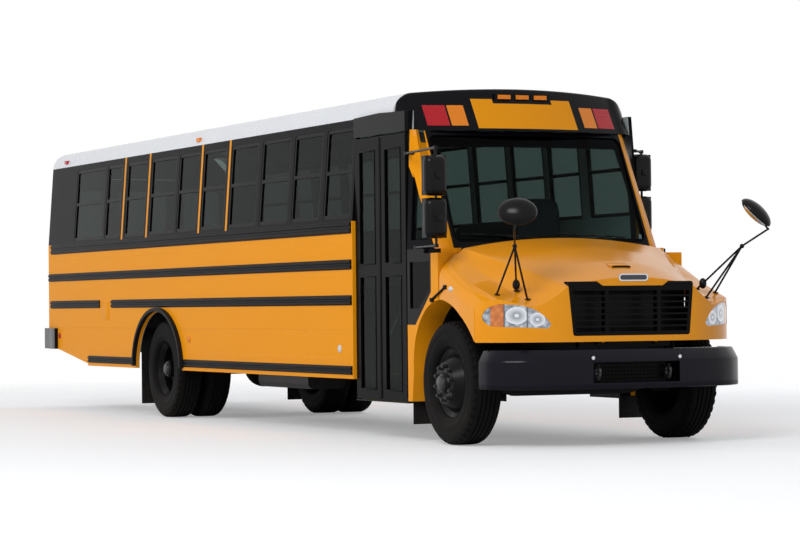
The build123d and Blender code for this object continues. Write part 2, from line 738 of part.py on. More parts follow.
with BuildPart() as hood:
    add(hood_solid.part)
    add(hood_hollow.part, mode=Mode.SUBTRACT)
    bar(fx(-95), fx(-80), -1100, 1100, 500, 1480, Mode.SUBTRACT)
    with BuildSketch(Plane.YZ.offset(fx(400))):
        grille_face(0)
        for side in (-1, 1):
            lamp_face(side, 0)
    extrude(amount=900, mode=Mode.SUBTRACT)
    with BuildSketch(Plane.XZ.offset(1300)):
        arch_face(0)
    extrude(amount=-2600, mode=Mode.SUBTRACT)
    # Hinge lugs behind the nose
    for side in (-1, 1):
        with BuildSketch(Plane.XZ.offset(-side * hood_pin_y - 8)):
            outline(((fx(hood_pin_x) - 10, hood_pin_z - 18), (fx(hood_pin_x) + 10, hood_pin_z - 18),
                     (fx(hood_pin_x) + 63, 872), (fx(hood_pin_x) + 63, 911), (fx(hood_pin_x) - 16, 906)))
            with Locations((fx(hood_pin_x), hood_pin_z)):
                Circle(22)
                Circle(hood_pin_r + fit, mode=Mode.SUBTRACT)
        extrude(amount=16)
keep(hood, "hood")

# Grille: a frame, two posts and six bars in the nose opening
with BuildPart() as grille:
    with BuildSketch(Plane.YZ.offset(fx(400))):
        grille_face(seat_gap)
    extrude(amount=900)
    add(nose_prism(4), mode=Mode.INTERSECT)
    add(nose_prism(64), mode=Mode.SUBTRACT)
    pitch = (grille_high - grille_notch - grille_low - 60) / (grille_bars + 1)
    with BuildSketch(Plane.YZ.offset(fx(400))):
        for row in range(grille_bars + 1):
            z = grille_low + 26 + pitch * (row + 0.5)
            half = grille_half - 42 + 42 * (z - grille_low) / (grille_high - grille_low) - 34
            for y0, y1 in ((-half, -262), (-226, 226), (262, half)):
                with Locations(((y0 + y1) / 2, z)):
                    Rectangle(y1 - y0, pitch - 15)
    extrude(amount=900, mode=Mode.SUBTRACT)
keep(grille, "grille")

# Headlamps: a lens block behind the fender's opening on each side
with BuildPart() as headlamps:
    for side in (-1, 1):
        with BuildSketch(Plane.YZ.offset(fx(400))):
            lamp_face(side, seat_gap)
        extrude(amount=900)
    add(nose_prism(3), mode=Mode.INTERSECT)
    add(nose_prism(110), mode=Mode.SUBTRACT)
    add(hood_solid.part, mode=Mode.INTERSECT)
keep(headlamps, "headlamps")

# Crossview mirrors on tripods that stand on the fenders
feet = ((560.0, 1105.0, 1268.0), (800.0, 860.0, 1318.0), (560.0, 900.0, 1415.0))
with BuildPart() as crossview_mirrors:
    for side in (-1, 1):
        head = (fx(1215), side * 1105, 1905)
        apex = (fx(1120), side * 1080, 1690)
        with Locations(apex):
            Cylinder(20, 36)
        for x, y, z in feet:
            rod((fx(x), side * y, z), apex, 9)
            with Locations((fx(x), side * y, z - 2)):
                Cylinder(26, 24)
        rod(apex, head, 9)
        with BuildSketch(Plane(origin=head, z_dir=(1, 0, -0.5))):
            Ellipse(150, 120)
        extrude(amount=46)
    add(hood_solid.part, mode=Mode.SUBTRACT)
keep(crossview_mirrors, "crossview_mirrors")

# Side mirrors: two heads on an upright tube; the kerb pair stands further forward
# side, x, top and foot of the tube, heads' heights, x of the upper and lower arms' roots
mirror_sets = (
    (-1, 165.0, 2490.0, 1672.0, (2258.0, 1903.0), -700.0, -430.0),
    (1, -1070.0, 2560.0, 1820.0, (2369.0, 1985.0), -955.0, -955.0),
)
mirror_y = 1335.0
with BuildPart() as side_mirrors:
    for side, x, z_top, z_low, heads, top_x, low_x in mirror_sets:
        top = (fx(x), side * mirror_y, z_top)
        foot = (fx(x), side * mirror_y, z_low)
        rod(foot, top, 11)
        for point, root_x, z in ((top, top_x, z_top), (foot, low_x, z_low)):
            skin = cab_y(root_x + 11, z, side) if side < 0 else wall_y(z - 11)
            root = (fx(root_x), side * (wall_y(z) + 26), z)
            rod(point, root, 11)
            rod(root, (fx(root_x), side * (skin + seat_gap), z), 11)
            with Locations(point, root):
                Box(30, 30, 30)
        for z in heads:
            bar(fx(x) - 75, fx(x) + 5, side * mirror_y - 95, side * mirror_y + 95, z - 165, z + 165)
    add(cab_outside, mode=Mode.SUBTRACT)
keep(side_mirrors, "side_mirrors")

# Bumpers: front with a sloped top band, rear a plain wrapped channel
rail_y = 430.0
rail_low = 660.0
rail_high = 920.0
rail_front = 960.0
rail_in = rail_y - 40
rail_web = rail_y + 30
with BuildPart() as bumpers:
    with BuildSketch(Plane.XY.offset(480)):
        with BuildLine():
            Polyline((fx(620), 1190), (fx(800), 1190), (fx(980), 1050))
            ThreePointArc((fx(980), 1050), (fx(1185), 0), (fx(980), -1050))
            Polyline((fx(980), -1050), (fx(800), -1190), (fx(620), -1190), (fx(620), -1150),
                     (fx(785), -1150), (fx(945), -1015))
            ThreePointArc((fx(945), -1015), (fx(1125), 0), (fx(945), 1015))
            Polyline((fx(945), 1015), (fx(785), 1150), (fx(620), 1150), (fx(620), 1190))
        make_face()
    extrude(amount=325)
    swept = bumpers.edges().filter_by(Axis.Z).filter_by(
        lambda e: abs(e.center().X - fx(980)) < 1 or abs(e.center().X - fx(800)) < 1)
    fillet(swept, 60)
    bar(fx(1000), fx(1300), -405, 405, 530, 700, Mode.SUBTRACT)
    for side in (-1, 1):
        bar(fx(rail_front), fx(1110), side * (rail_y - 30), side * (rail_y + 40), 680, 790)
    with BuildSketch(Plane.XY.offset(700)):
        outline((
            (fx(-10680), half_w + seat_gap), (fx(-11060), half_w + seat_gap), (fx(-11130), 1150),
            (fx(-11130), -1150), (fx(-11060), -half_w - seat_gap), (fx(-10680), -half_w - seat_gap),
            (fx(-10680), -half_w - 42), (fx(-11076), -half_w - 42),
            (fx(-11170), -1170), (fx(-11170), 1170), (fx(-11076), half_w + 42), (fx(-10680), half_w + 42),
        ))
    extrude(amount=255)
    for side in (-1, 1):
        bar(fx(-11140), fx(body_rear) - wall - seat_gap, side * (rail_y - 40), side * (rail_y + 40), 740, 900)
keep(bumpers, "bumpers")

# Chassis frame: two rails, their cross members, spring hangers and outriggers
# x, half length, underside at the axle, rise of the ends
spring_packs = ((0.0, 720.0, 500.3, 84.0), (-wheelbase, 800.0, 592.3, 20.0))
spring_h = 36.0
with BuildPart() as chassis_frame:
    for side in (-1, 1):
        bar(fx(-11020), fx(rail_front), side * (rail_y - 40), side * (rail_y + 40), rail_low, rail_high)
        bar(fx(-11065), fx(1065), side * (rail_y - 41), side * (rail_y + 30), rail_low + 10,
            rail_high - 10, Mode.SUBTRACT)
        for x, half, low, rise in spring_packs:
            seat = low + rise + spring_h + seat_gap
            for end in (35 - half, half - 35):
                bar(fx(x + end) - 35, fx(x + end) + 35, side * (rail_y - 38), side * (rail_y + 38),
                    seat, rail_low)
    for x in (-10900, -9600, -8200, -5900, -4600, -3200, -1700, -650):
        bar(fx(x) - 45, fx(x) + 45, -rail_y - 30, rail_y + 30, rail_low + 40, rail_high - 40)
    # Brackets and pins that the hood tilts on
    bar(fx(rail_front) - 60, fx(rail_front), -rail_y, rail_y, 820, rail_high)
    for side in (-1, 1):
        with BuildSketch(Plane.XZ.offset(-side * (hood_pin_y + 22) - 6)):
            outline(((fx(rail_front) - 10, 830), (fx(rail_front) - 10, 910), (fx(hood_pin_x), 896),
                     (fx(hood_pin_x) + 16, 878), (fx(hood_pin_x), 860)))
        extrude(amount=12)
        rod((fx(hood_pin_x), side * (hood_pin_y + 26), hood_pin_z),
            (fx(hood_pin_x), side * (hood_pin_y - 14), hood_pin_z), hood_pin_r)
    # Outriggers that carry the floor
    for x in (-10400, -8900, -8100, -6000, -5200, -4300, -3400, -2500):
        bar(fx(x) - 30, fx(x) + 30, -half_w + wall, half_w - wall, rail_high, floor_z - floor_t)
keep(chassis_frame, "chassis_frame")

# Front axle: a dropped beam with a kingpin eye at each end
with BuildPart() as front_axle:
    bar(fx(-45), fx(45), -560, 560, 400, 500)
    for side in (-1, 1):
        with BuildSketch(Plane.YZ.offset(fx(-45))):
            outline(((side * 540, 400), (side * 540, 500), (side * (kingpin_y - 30), 575),
                     (side * (kingpin_y - 30), 470)))
        extrude(amount=90)
        with Locations((fx(0), side * kingpin_y, tyre_r)):
            Cylinder(52, 130)
    for side in (-1, 1):
        with Locations((fx(0), side * kingpin_y, tyre_r)):
            Cylinder(pin_r + fit, 140, mode=Mode.SUBTRACT)
keep(front_axle, "front_axle")

# Steering knuckles: a yoke over the beam's eye, its pin, and the wheel's spindle
for side, name in ((-1, "knuckle_right"), (1, "knuckle_left")):
    with BuildPart() as knuckle:
        with Locations((fx(0), side * kingpin_y, tyre_r)):
            Cylinder(pin_r, 190)
        for z0, z1 in ((tyre_r - 112, tyre_r - 72), (tyre_r + 72, tyre_r + 112)):
            bar(fx(-48), fx(48), side * (kingpin_y - 48), side * (kingpin_y + 82), z0, z1)
        bar(fx(-48), fx(48), side * (kingpin_y + 60), side * (kingpin_y + 82), tyre_r - 112, tyre_r + 112)
        rod((fx(0), side * (kingpin_y + 80), tyre_r), (fx(0), side * 1120, tyre_r), spindle_r)
    keep(knuckle, name)

# Leaf springs: one pack on each end of each axle, hung below the rails
with BuildPart() as leaf_springs:
    for x, half, low, rise in spring_packs:
        for side in (-1, 1):
            with BuildSketch(Plane.XZ.offset(-side * rail_y - 35)):
                with BuildLine():
                    Line((fx(x) - half, low + rise), (fx(x) - half, low + rise + spring_h))
                    ThreePointArc((fx(x) - half, low + rise + spring_h), (fx(x), low + spring_h + 6),
                                  (fx(x) + half, low + rise + spring_h))
                    Line((fx(x) + half, low + rise + spring_h), (fx(x) + half, low + rise))
                    ThreePointArc((fx(x) + half, low + rise), (fx(x), low), (fx(x) - half, low + rise))
                make_face()
            extrude(amount=70)
keep(leaf_springs, "leaf_springs")

# Rear axle: tubes, differential bowl and the drive shaft in front of it
hub_y = track_half - dual_gap / 2
with BuildPart() as rear_axle:
    rod((fx(-wheelbase), -700, tyre_r), (fx(-wheelbase), 700, tyre_r), 70)
    rod((fx(-wheelbase), -1120, tyre_r), (fx(-wheelbase), 1120, tyre_r), spindle_r)
    with Locations((fx(-wheelbase), 0, tyre_r)):
        Sphere(215)
    rod((fx(-wheelbase) + 190, 0, tyre_r), (fx(-wheelbase) + 420, 0, tyre_r + 20), 75)
    rod((fx(-wheelbase) + 400, 0, tyre_r + 20), (fx(-1500), 0, 600), 50)
keep(rear_axle, "rear_axle")

# Wheels and tyres, made from their section and placed by a short table
rim_half = 94.0
dish = 154.0              # from the rim's middle to its disc's mounting face


def tyre_ring(y):
    """One tyre centred on y, around the wheel's axis."""
    h = tyre_w / 2
    with BuildSketch(Plane.YZ) as section:
        outline((
            (y - h + 30, rim_r), (y + h - 30, rim_r), (y + h, rim_r + 0.55 * (tyre_r - rim_r)),
            (y + h - 20, tyre_r), (y - h + 20, tyre_r), (y - h, rim_r + 0.55 * (tyre_r - rim_r)),
        ))
    revolve(section.sketch, axis=Axis.Y)


def rim_ring(y, way, hub_r):
    """One rim centred on y whose disc dishes out towards way, with a hole of hub_r."""
    well = rim_r - 38
    with BuildSketch(Plane.YZ) as section:
        outline([(y + way * a, r) for a, r in (
            (-rim_half, rim_r - seat_gap), (rim_half, rim_r - seat_gap),
            (rim_half - 24, well), (dish + 8, 176), (dish + 8, hub_r), (dish - 8, hub_r),
            (dish - 8, 170), (rim_half - 54, well), (54 - rim_half, well),
        )])
    revolve(section.sketch, axis=Axis.Y)


def hub_ring(y0, y1, flange_y):
    """A hub between y0 and y1 with its wheel flange at flange_y."""
    with BuildSketch(Plane.YZ) as section:
        outline((
            (y0, spindle_r + fit), (y0, 95), (flange_y - 10, 95), (flange_y - 10, 165),
            (flange_y + 10, 165), (flange_y + 10, 95), (y1 - 12, 88), (y1, 76), (y1, spindle_r + fit),
        ))
    revolve(section.sketch, axis=Axis.Y)


for side, word in ((-1, "right"), (1, "left")):
    with BuildPart() as front_tyre:
        tyre_ring(0)
    with BuildPart() as tyre_front:
        with Locations((fx(0), side * track_half, tyre_r)):
            add(front_tyre.part)
    keep(tyre_front, "tyre_front_" + word)
    with BuildPart() as front_rim:
        rim_ring(0, 1, 90)
        hub_ring(-20, 188, dish)
    with BuildPart() as wheel_front:
        with Locations(Location((fx(0), side * track_half, tyre_r), (0, 0, 0 if side > 0 else 180))):
            add(front_rim.part)
    keep(wheel_front, "wheel_front_" + word)
    with BuildPart() as rear_tyres:
        tyre_ring(0)
        tyre_ring(-dual_gap)
    with BuildPart() as tyres_rear:
        with Locations(Location((fx(-wheelbase), side * track_half, tyre_r), (0, 0, 0 if side > 0 else 180))):
            add(rear_tyres.part)
    keep(tyres_rear, "tyres_rear_" + word)
    with BuildPart() as rear_rims:
        rim_ring(0, -1, 90)
        rim_ring(-dual_gap, 1, 90)
        hub_ring(-240, 90, -dual_gap / 2)
    with BuildPart() as wheels_rear:
        with Locations(Location((fx(-wheelbase), side * track_half, tyre_r), (0, 0, 0 if side > 0 else 180))):
            add(rear_rims.part)
    keep(wheels_rear, "wheels_rear_" + word)

# Engine and radiator, closed masses under the hood
with BuildPart() as engine_block:
    bar(fx(-60), fx(720), -300, 300, 700, 1300)
    bar(fx(800), fx(900), -380, 380, 930, 1280)
    bar(fx(780), fx(820), -rail_in, rail_in, 850, 960)
    for x, z in ((780, 800), (200, 730)):
        bar(fx(x), fx(x) + 60, seat_gap - rail_web, rail_web - seat_gap, z, z + 70)
keep(engine_block, "engine_block")

# Fuel tank outside the kerb rail, and the muffler with its pipe on the other side
rail_out = rail_y + 40 + seat_gap
with BuildPart() as fuel_tank:
    with BuildSketch(Plane.YZ.offset(fx(-5000))):
        with Locations((-690, 540)):
            RectangleRounded(400, 330, 60)
    extrude(amount=1300)
    for x in (-4800, -3900):
        bar(fx(x), fx(x) + 60, -640, -rail_out, 668, 702)
keep(fuel_tank, "fuel_tank")

with BuildPart() as exhaust:
    rod((fx(-3200), 640, 560), (fx(-2000), 640, 560), 130)
    rod((fx(-2020), 640, 560), (fx(-900), 640, 600), 50)
    rod((fx(-3180), 640, 560), (fx(-5600), 640, 590), 50)
    for x in (-3100, -2200):
        bar(fx(x), fx(x) + 40, rail_out, 640, 668, 712)
keep(exhaust, "exhaust")

# Rub rails on both sides: z, rear and front end from the front axle
rails = (
    (1890.0, 115.0, -10900.0, -1870.0), (1553.0, 92.0, -11000.0, -1870.0),
    (1230.0, 92.0, -10930.0, -9070.0), (1230.0, 92.0, -8650.0, -1870.0),
    (596.0, 80.0, -9500.0, -7880.0), (596.0, 80.0, -6300.0, -1870.0),
)
with BuildPart() as rub_rails:
    for z, height, x0, x1 in rails:
        for side in (-1, 1):
            bar(fx(x0), fx(x1), side * half_w, side * (half_w + 14), z - height / 2, z + height / 2)
keep(rub_rails, "rub_rails")

# Rubber guards: rear arch flares and the mud flaps
with BuildPart() as rubber_guards:
    for side in (-1, 1):
        with BuildSketch(Plane.XZ.offset(-side * half_w if side > 0 else half_w)):
            with Locations((fx(-wheelbase), arch_z)):
                Ellipse(arch_rx + 36, arch_rz + 36)
                Ellipse(arch_rx, arch_rz, mode=Mode.SUBTRACT)
            with Locations((fx(-wheelbase), arch_z - 400)):
                Rectangle(2000, 800, mode=Mode.SUBTRACT)
        extrude(amount=-45 if side > 0 else 45)
        bar(fx(-7790), fx(-7780), side * 560, side * 1170, 130, floor_z - floor_t)
        bar(fx(-730), fx(-722), side * 880, side * (cab_half - wall - seat_gap), 150, 700)
keep(rubber_guards, "rubber_guards")

# Dashboard and steering wheel
with BuildPart() as dashboard:
    with BuildSketch(Plane.XZ.offset(1140)):
        outline(((fx(-160) - seat_gap, 1450), (fx(-480), 1450), (fx(-560), 1360), (fx(-560), 1260),
                 (fx(-480), 1240), (fx(-160) - seat_gap, 1240)))
    extrude(amount=-2280)
    with Locations(Location((fx(-760), 560, 1560), (0, -48, 0))):
        Cylinder(232, 24)
        Cylinder(206, 25, mode=Mode.SUBTRACT)
        Cylinder(40, 30)
        Box(430, 26, 16)
        Box(26, 430, 16)
    rod((fx(-760), 560, 1560), (fx(-500), 560, 1325), 28)
keep(dashboard, "dashboard")

# Seats: benches in rows on both sides of the aisle, and the driver's seat
seat_rows = 11
seat_pitch = 780.0
with BuildPart() as passenger_seats:
    for row in range(seat_rows):
        x = -10500 + row * seat_pitch
        for side in (-1, 1):
            bar(fx(x), fx(x) + 430, side * 250, side * 1165, floor_z + 340, floor_z + 450)
            bar(fx(x) - 90, fx(x), side * 250, side * 1165, floor_z + 340, floor_z + 960)
            bar(fx(x) + 60, fx(x) + 360, side * 290, side * 330, floor_z, floor_z + 340)
keep(passenger_seats, "passenger_seats")

with BuildPart() as driver_seat:
    bar(fx(-1560), fx(-1080), 330, 810, floor_z + 330, floor_z + 450)
    bar(fx(-1650), fx(-1560), 330, 810, floor_z + 330, floor_z + 1150)
    bar(fx(-1460), fx(-1200), 420, 720, floor_z, floor_z + 330)
keep(driver_seat, "driver_seat")

# Stop arm on the driver's side, folded flat against the wall
with BuildPart() as stop_arm:
    with BuildSketch(Plane.XZ.offset(-stop_y - 5)):
        with Locations((fx(stop_x) - 290, stop_z)):
            RegularPolygon(245, 8, major_radius=False, rotation=22.5)
    extrude(amount=10)
    bar(fx(stop_x) - 80, fx(stop_x), stop_y - 5, stop_y + 5, stop_z - 40, stop_z + 40)
    rod((fx(stop_x), stop_y, stop_z - 42 + seat_gap), (fx(stop_x), stop_y, stop_z + 42 - seat_gap), 12)
keep(stop_arm, "stop_arm")

# Lamps on the rear wall: warning lamps above, tail and brake lamps at the belt
with BuildPart() as rear_lamps:
    with BuildSketch(Plane.YZ.offset(fx(body_rear) - wall)):
        with Locations((-880, 2915), (-600, 2915), (600, 2915), (880, 2915)):
            RectangleRounded(220, 150, 30)
        with Locations((-860, 1560), (860, 1560), (-860, 1340), (860, 1340)):
            Circle(88)
    extrude(amount=-24)
keep(rear_lamps, "rear_lamps")

# Lamps on the roof's edge and the front cap's pod
with BuildPart() as marker_lamps:
    for x in (-10500, -5980):
        for side in (-1, 1):
            bar(fx(x) - 45, fx(x) + 45, side * (eave_half - 40), side * (eave_half + 10), 2905, 2945)
    with BuildSketch(Plane.YZ.offset(fx(body_rear))):
        roof_outline(0)
    extrude(amount=roof_front - body_rear, mode=Mode.SUBTRACT)
    add(lamp_plates(seat_gap, 2, pocket_depth - seat_gap))
    for y in (-180, 0, 180):
        bar(fx(-848) + seat_gap, fx(-836), y - 62, y + 62, 2993, 3030)
keep(marker_lamps, "marker_lamps")
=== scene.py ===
import bmesh
import bpy
from math import cos, pi, radians, sin
from mathutils import Matrix, Vector


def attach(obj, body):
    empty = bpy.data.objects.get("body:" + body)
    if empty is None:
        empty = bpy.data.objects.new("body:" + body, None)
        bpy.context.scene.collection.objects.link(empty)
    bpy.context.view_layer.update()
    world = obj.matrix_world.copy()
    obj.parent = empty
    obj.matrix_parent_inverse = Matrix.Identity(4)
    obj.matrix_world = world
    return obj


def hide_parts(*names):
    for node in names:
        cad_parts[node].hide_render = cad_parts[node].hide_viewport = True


# School bus with a tilting hood, in metres, X forward, Y to the driver's side, Z up.
# Lengths along the bus are written from the front axle and placed by fx().
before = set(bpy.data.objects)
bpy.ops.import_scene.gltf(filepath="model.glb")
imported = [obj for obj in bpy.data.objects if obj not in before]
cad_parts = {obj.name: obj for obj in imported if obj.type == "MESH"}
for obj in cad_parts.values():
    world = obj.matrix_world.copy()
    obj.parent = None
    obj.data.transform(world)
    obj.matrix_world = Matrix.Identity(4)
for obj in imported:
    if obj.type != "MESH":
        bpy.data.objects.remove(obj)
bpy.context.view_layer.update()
axle_x = 4.923


def fx(x):
    """X in the part's frame of a place measured from the front axle."""
    return axle_x + x


# Camera: low in front of the kerb side corner, through a long lens.
camera_x, camera_y, camera_z = 20.509, -10.984, 1.178
camera_yaw, camera_pitch, camera_roll = radians(155.3998), radians(0.8248), radians(-0.6075)
scene = bpy.context.scene
camera = bpy.data.objects.new("camera", bpy.data.cameras.new("camera"))
scene.collection.objects.link(camera)
camera.data.sensor_width = 36.0
camera.data.lens = 121.8
camera.data.clip_end = 400.0
camera.matrix_world = (
    Matrix.Translation((fx(camera_x), camera_y, camera_z))
    @ Matrix.Rotation(camera_yaw - pi / 2, 4, "Z")
    @ Matrix.Rotation(pi / 2 + camera_pitch, 4, "X")
    @ Matrix.Rotation(camera_roll, 4, "Z")
)
scene.camera = camera
scene.view_settings.view_transform = "Standard"


# Studio: a pale floor that fades into a white surround, a soft sky and three broad lamps.
def new_material(name):
    """A material with an empty node tree."""
    material = bpy.data.materials.new(name)
    material.use_nodes = True
    material.node_tree.nodes.clear()
    return material


def node(tree, kind, **inputs):
    """Adds a node and sets its sockets; a value that is a socket is linked instead."""
    made = tree.nodes.new(kind)
    for key, value in inputs.items():
        numbered = key[0] == "i" and key[1:].isdigit()
        socket = made.inputs[int(key[1:])] if numbered else made.inputs[key.replace("_", " ")]
        if isinstance(value, bpy.types.NodeSocket):
            tree.links.new(value, socket)
        else:
            socket.default_value = value
    return made


def maths(tree, operation, a, b=0.0):
    """The output of a Math node on two values or sockets."""
    made = node(tree, "ShaderNodeMath", i0=a, i1=b)
    made.operation = operation
    return made.outputs[0]


def times(tree, a, b):
    """a * b."""
    return maths(tree, "MULTIPLY", a, b)


def minus(tree, a, b):
    """a - b."""
    return maths(tree, "SUBTRACT", a, b)


def object_place(tree):
    """The Object coordinates socket."""
    return node(tree, "ShaderNodeTexCoord").outputs["Object"]


world = bpy.data.worlds.new("studio")
scene.world = world
world.use_nodes = True
sky = world.node_tree
sky.nodes.clear()
path = sky.nodes.new("ShaderNodeLightPath")
seen = maths(sky, "MAXIMUM", path.outputs["Is Camera Ray"], path.outputs["Is Transmission Ray"])
seen = maths(sky, "MAXIMUM", seen, path.outputs["Is Glossy Ray"])
soft_light = node(sky, "ShaderNodeBackground", Color=(0.86, 0.91, 1.0, 1), Strength=0.36)
white_wall = node(sky, "ShaderNodeBackground", Color=(1, 1, 1, 1), Strength=1.0)
surround = node(sky, "ShaderNodeMixShader", i0=seen, i1=soft_light.outputs[0], i2=white_wall.outputs[0])
node(sky, "ShaderNodeOutputWorld", Surface=surround.outputs[0])

floor_paint = new_material("studio_floor")
tree = floor_paint.node_tree
far = node(tree, "ShaderNodeVectorMath", i0=object_place(tree))
far.operation = "LENGTH"
fade = node(tree, "ShaderNodeMapRange", Value=far.outputs["Value"], From_Min=8.0, From_Max=17.0)
looked_at = node(tree, "ShaderNodeLightPath").outputs["Is Camera Ray"]
pale = node(tree, "ShaderNodeBsdfPrincipled", Base_Color=(0.86, 0.86, 0.86, 1), Roughness=0.7,
            Specular_IOR_Level=0.2, Emission_Color=(1, 1, 1, 1),
            Emission_Strength=times(tree, looked_at, 0.27))
bare = node(tree, "ShaderNodeBsdfTransparent")
ground = node(tree, "ShaderNodeMixShader", i0=fade.outputs[0], i1=pale.outputs[0], i2=bare.outputs[0])
node(tree, "ShaderNodeOutputMaterial", Surface=ground.outputs[0])
ground_disc = bmesh.new()
bmesh.ops.create_circle(ground_disc, cap_ends=True, segments=96, radius=18.0)
studio_floor = bpy.data.objects.new("studio_floor", bpy.data.meshes.new("studio_floor"))
ground_disc.to_mesh(studio_floor.data)
ground_disc.free()
studio_floor.data.materials.append(floor_paint)
scene.collection.objects.link(studio_floor)

# name, place, aim, watts, width and height of the lamp
lamps = (
    ("key_lamp", (16.0, -13.0, 12.0), (2.0, -1.0, 1.2), 1750.0, 8.0, 6.0),
    ("side_lamp", (-6.0, -17.0, 8.0), (-2.0, -1.2, 1.6), 950.0, 12.0, 4.0),
    ("back_lamp", (-8.0, 16.0, 10.0), (0.0, 0.0, 1.5), 900.0, 12.0, 6.0),
)
for name, where, aim, watts, width, height in lamps:
    light = bpy.data.lights.new(name, "AREA")
    light.shape = "RECTANGLE"
    light.size = width
    light.size_y = height
    light.energy = watts
    lamp = bpy.data.objects.new(name, light)
    lamp.location = where
    lamp.visible_glossy = name == "key_lamp"
    lamp.rotation_euler = (Vector(aim) - Vector(where)).to_track_quat("-Z", "Y").to_euler()
    scene.collection.objects.link(lamp)


# Chassis: two pressed channel rails with riveted cross members, and the outriggers that carry the
# body, all in matt black with road dust. The axles and knuckles are black castings and forgings.
def effect(name, inputs, outputs):
    """A shader node group with named inputs and outputs; returns it with its two end nodes."""
    group = bpy.data.node_groups.new(name, "ShaderNodeTree")
    for label, value in inputs:
        socket = group.interface.new_socket(name=label, in_out="INPUT", socket_type="NodeSocketFloat")
        socket.default_value = value
    for label in outputs:
        group.interface.new_socket(name=label, in_out="OUTPUT", socket_type="NodeSocketFloat")
    return group, group.nodes.new("NodeGroupInput"), group.nodes.new("NodeGroupOutput")


surface_group, given, put = effect(
    "surface_variation",
    (("Scale", 3.0), ("Roughness", 0.3), ("Spread", 0.08), ("Fine Scale", 300.0)),
    ("Roughness", "Tone", "Fine"),
)
place = object_place(surface_group)
broad = node(surface_group, "ShaderNodeTexNoise", Vector=place, Scale=given.outputs["Scale"], Detail=5.0)
fine = node(surface_group, "ShaderNodeTexNoise", Vector=place, Scale=given.outputs["Fine Scale"], Detail=2.0)
centred = minus(surface_group, broad.outputs[0], 0.5)
spread = times(surface_group, centred, given.outputs["Spread"])
uneven = maths(surface_group, "ADD", given.outputs["Roughness"], spread)
surface_group.links.new(uneven, put.inputs["Roughness"])
surface_group.links.new(broad.outputs[0], put.inputs["Tone"])
surface_group.links.new(fine.outputs[0], put.inputs["Fine"])

dust_group, given, put = effect("low_dust", (("Top", 0.6), ("Amount", 0.3)), ("Mask",))
place = object_place(dust_group)
height = node(dust_group, "ShaderNodeSeparateXYZ", Vector=place).outputs["Z"]
low = node(dust_group, "ShaderNodeMapRange", Value=height, From_Min=0.0, From_Max=given.outputs["Top"],
           To_Min=1.0, To_Max=0.0)
patchy = node(dust_group, "ShaderNodeTexNoise", Vector=place, Scale=7.0, Detail=6.0)
mask = times(dust_group, low.outputs[0], patchy.outputs[0])
dust_group.links.new(times(dust_group, mask, given.outputs["Amount"]), put.inputs["Mask"])


def group_in(tree, group, **inputs):
    """Places a node group in a material with its own values."""
    made = tree.nodes.new("ShaderNodeGroup")
    made.node_tree = group
    for key, value in inputs.items():
        made.inputs[key.replace("_", " ")].default_value = value
    return made


def blend_colour(tree, mask, first, second):
    """Mixes two colours, or sockets, by a mask and gives the output socket."""
    made = tree.nodes.new("ShaderNodeMix")
    made.data_type = "RGBA"
    for socket, value in ((made.inputs[0], mask), (made.inputs[6], first), (made.inputs[7], second)):
        if isinstance(value, bpy.types.NodeSocket):
            tree.links.new(value, socket)
        else:
            socket.default_value = value if isinstance(value, float) else (*value[:3], 1)
    return made.outputs[2]


dust_colour = (0.30, 0.26, 0.21)


def finish(name, colour, roughness=0.3, spread=0.08, coat=0.0, metallic=0.0, specular=0.5, dust=0.0,
           dust_top=0.9, grain=0.0, grain_scale=300.0, scheme=None, relief=None):
    """A solid finish with uneven gloss; scheme gives its colours, and relief its bump height."""
    material = new_material(name)
    tree = material.node_tree
    varied = group_in(tree, surface_group, Scale=2.5, Roughness=roughness, Spread=spread,
                      Fine_Scale=grain_scale)
    if scheme:
        shade = scheme(tree)
    else:
        tone = times(tree, varied.outputs["Tone"], 0.35)
        shade = blend_colour(tree, tone, colour, tuple(c * 0.82 for c in colour))
    if dust:
        mask = group_in(tree, dust_group, Top=dust_top, Amount=dust)
        shade = blend_colour(tree, mask.outputs["Mask"], shade, dust_colour)
    shader = node(tree, "ShaderNodeBsdfPrincipled", Base_Color=shade, Roughness=varied.outputs["Roughness"],
                  Metallic=metallic, Specular_IOR_Level=specular, Coat_Weight=coat, Coat_Roughness=0.04)
    if grain or relief:
        level = relief(tree) if relief else varied.outputs["Fine"]
        bump = node(tree, "ShaderNodeBump", Strength=grain, Height=level,
                    Distance=0.004 if relief else 0.0008)
        tree.links.new(bump.outputs[0], shader.inputs["Normal"])
    node(tree, "ShaderNodeOutputMaterial", Surface=shader.outputs[0])
    return material


def dress(material, *names, crease=32.0):
    """Gives CAD nodes a finish, and smooth shading up to a crease angle."""
    for name in names:
        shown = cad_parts[name]
        shown.data.materials.clear()
        shown.data.materials.append(material)
        shown.data.shade_smooth()
        weld = shown.modifiers.new("weld", "WELD")
        weld.merge_threshold = 0.00002
        split = shown.modifiers.new("crease", "EDGE_SPLIT")
        split.split_angle = radians(crease)


chassis_paint = finish("chassis_paint", (0.007, 0.007, 0.008), roughness=0.55, spread=0.2, specular=0.15,
                       dust=0.12, dust_top=0.9)
spring_steel = finish("spring_steel", (0.05, 0.05, 0.052), roughness=0.5, metallic=0.5, dust=0.35)
dress(chassis_paint, "chassis_frame", "front_axle", "knuckle_right", "knuckle_left", "rear_axle")
dress(spring_steel, "leaf_springs")


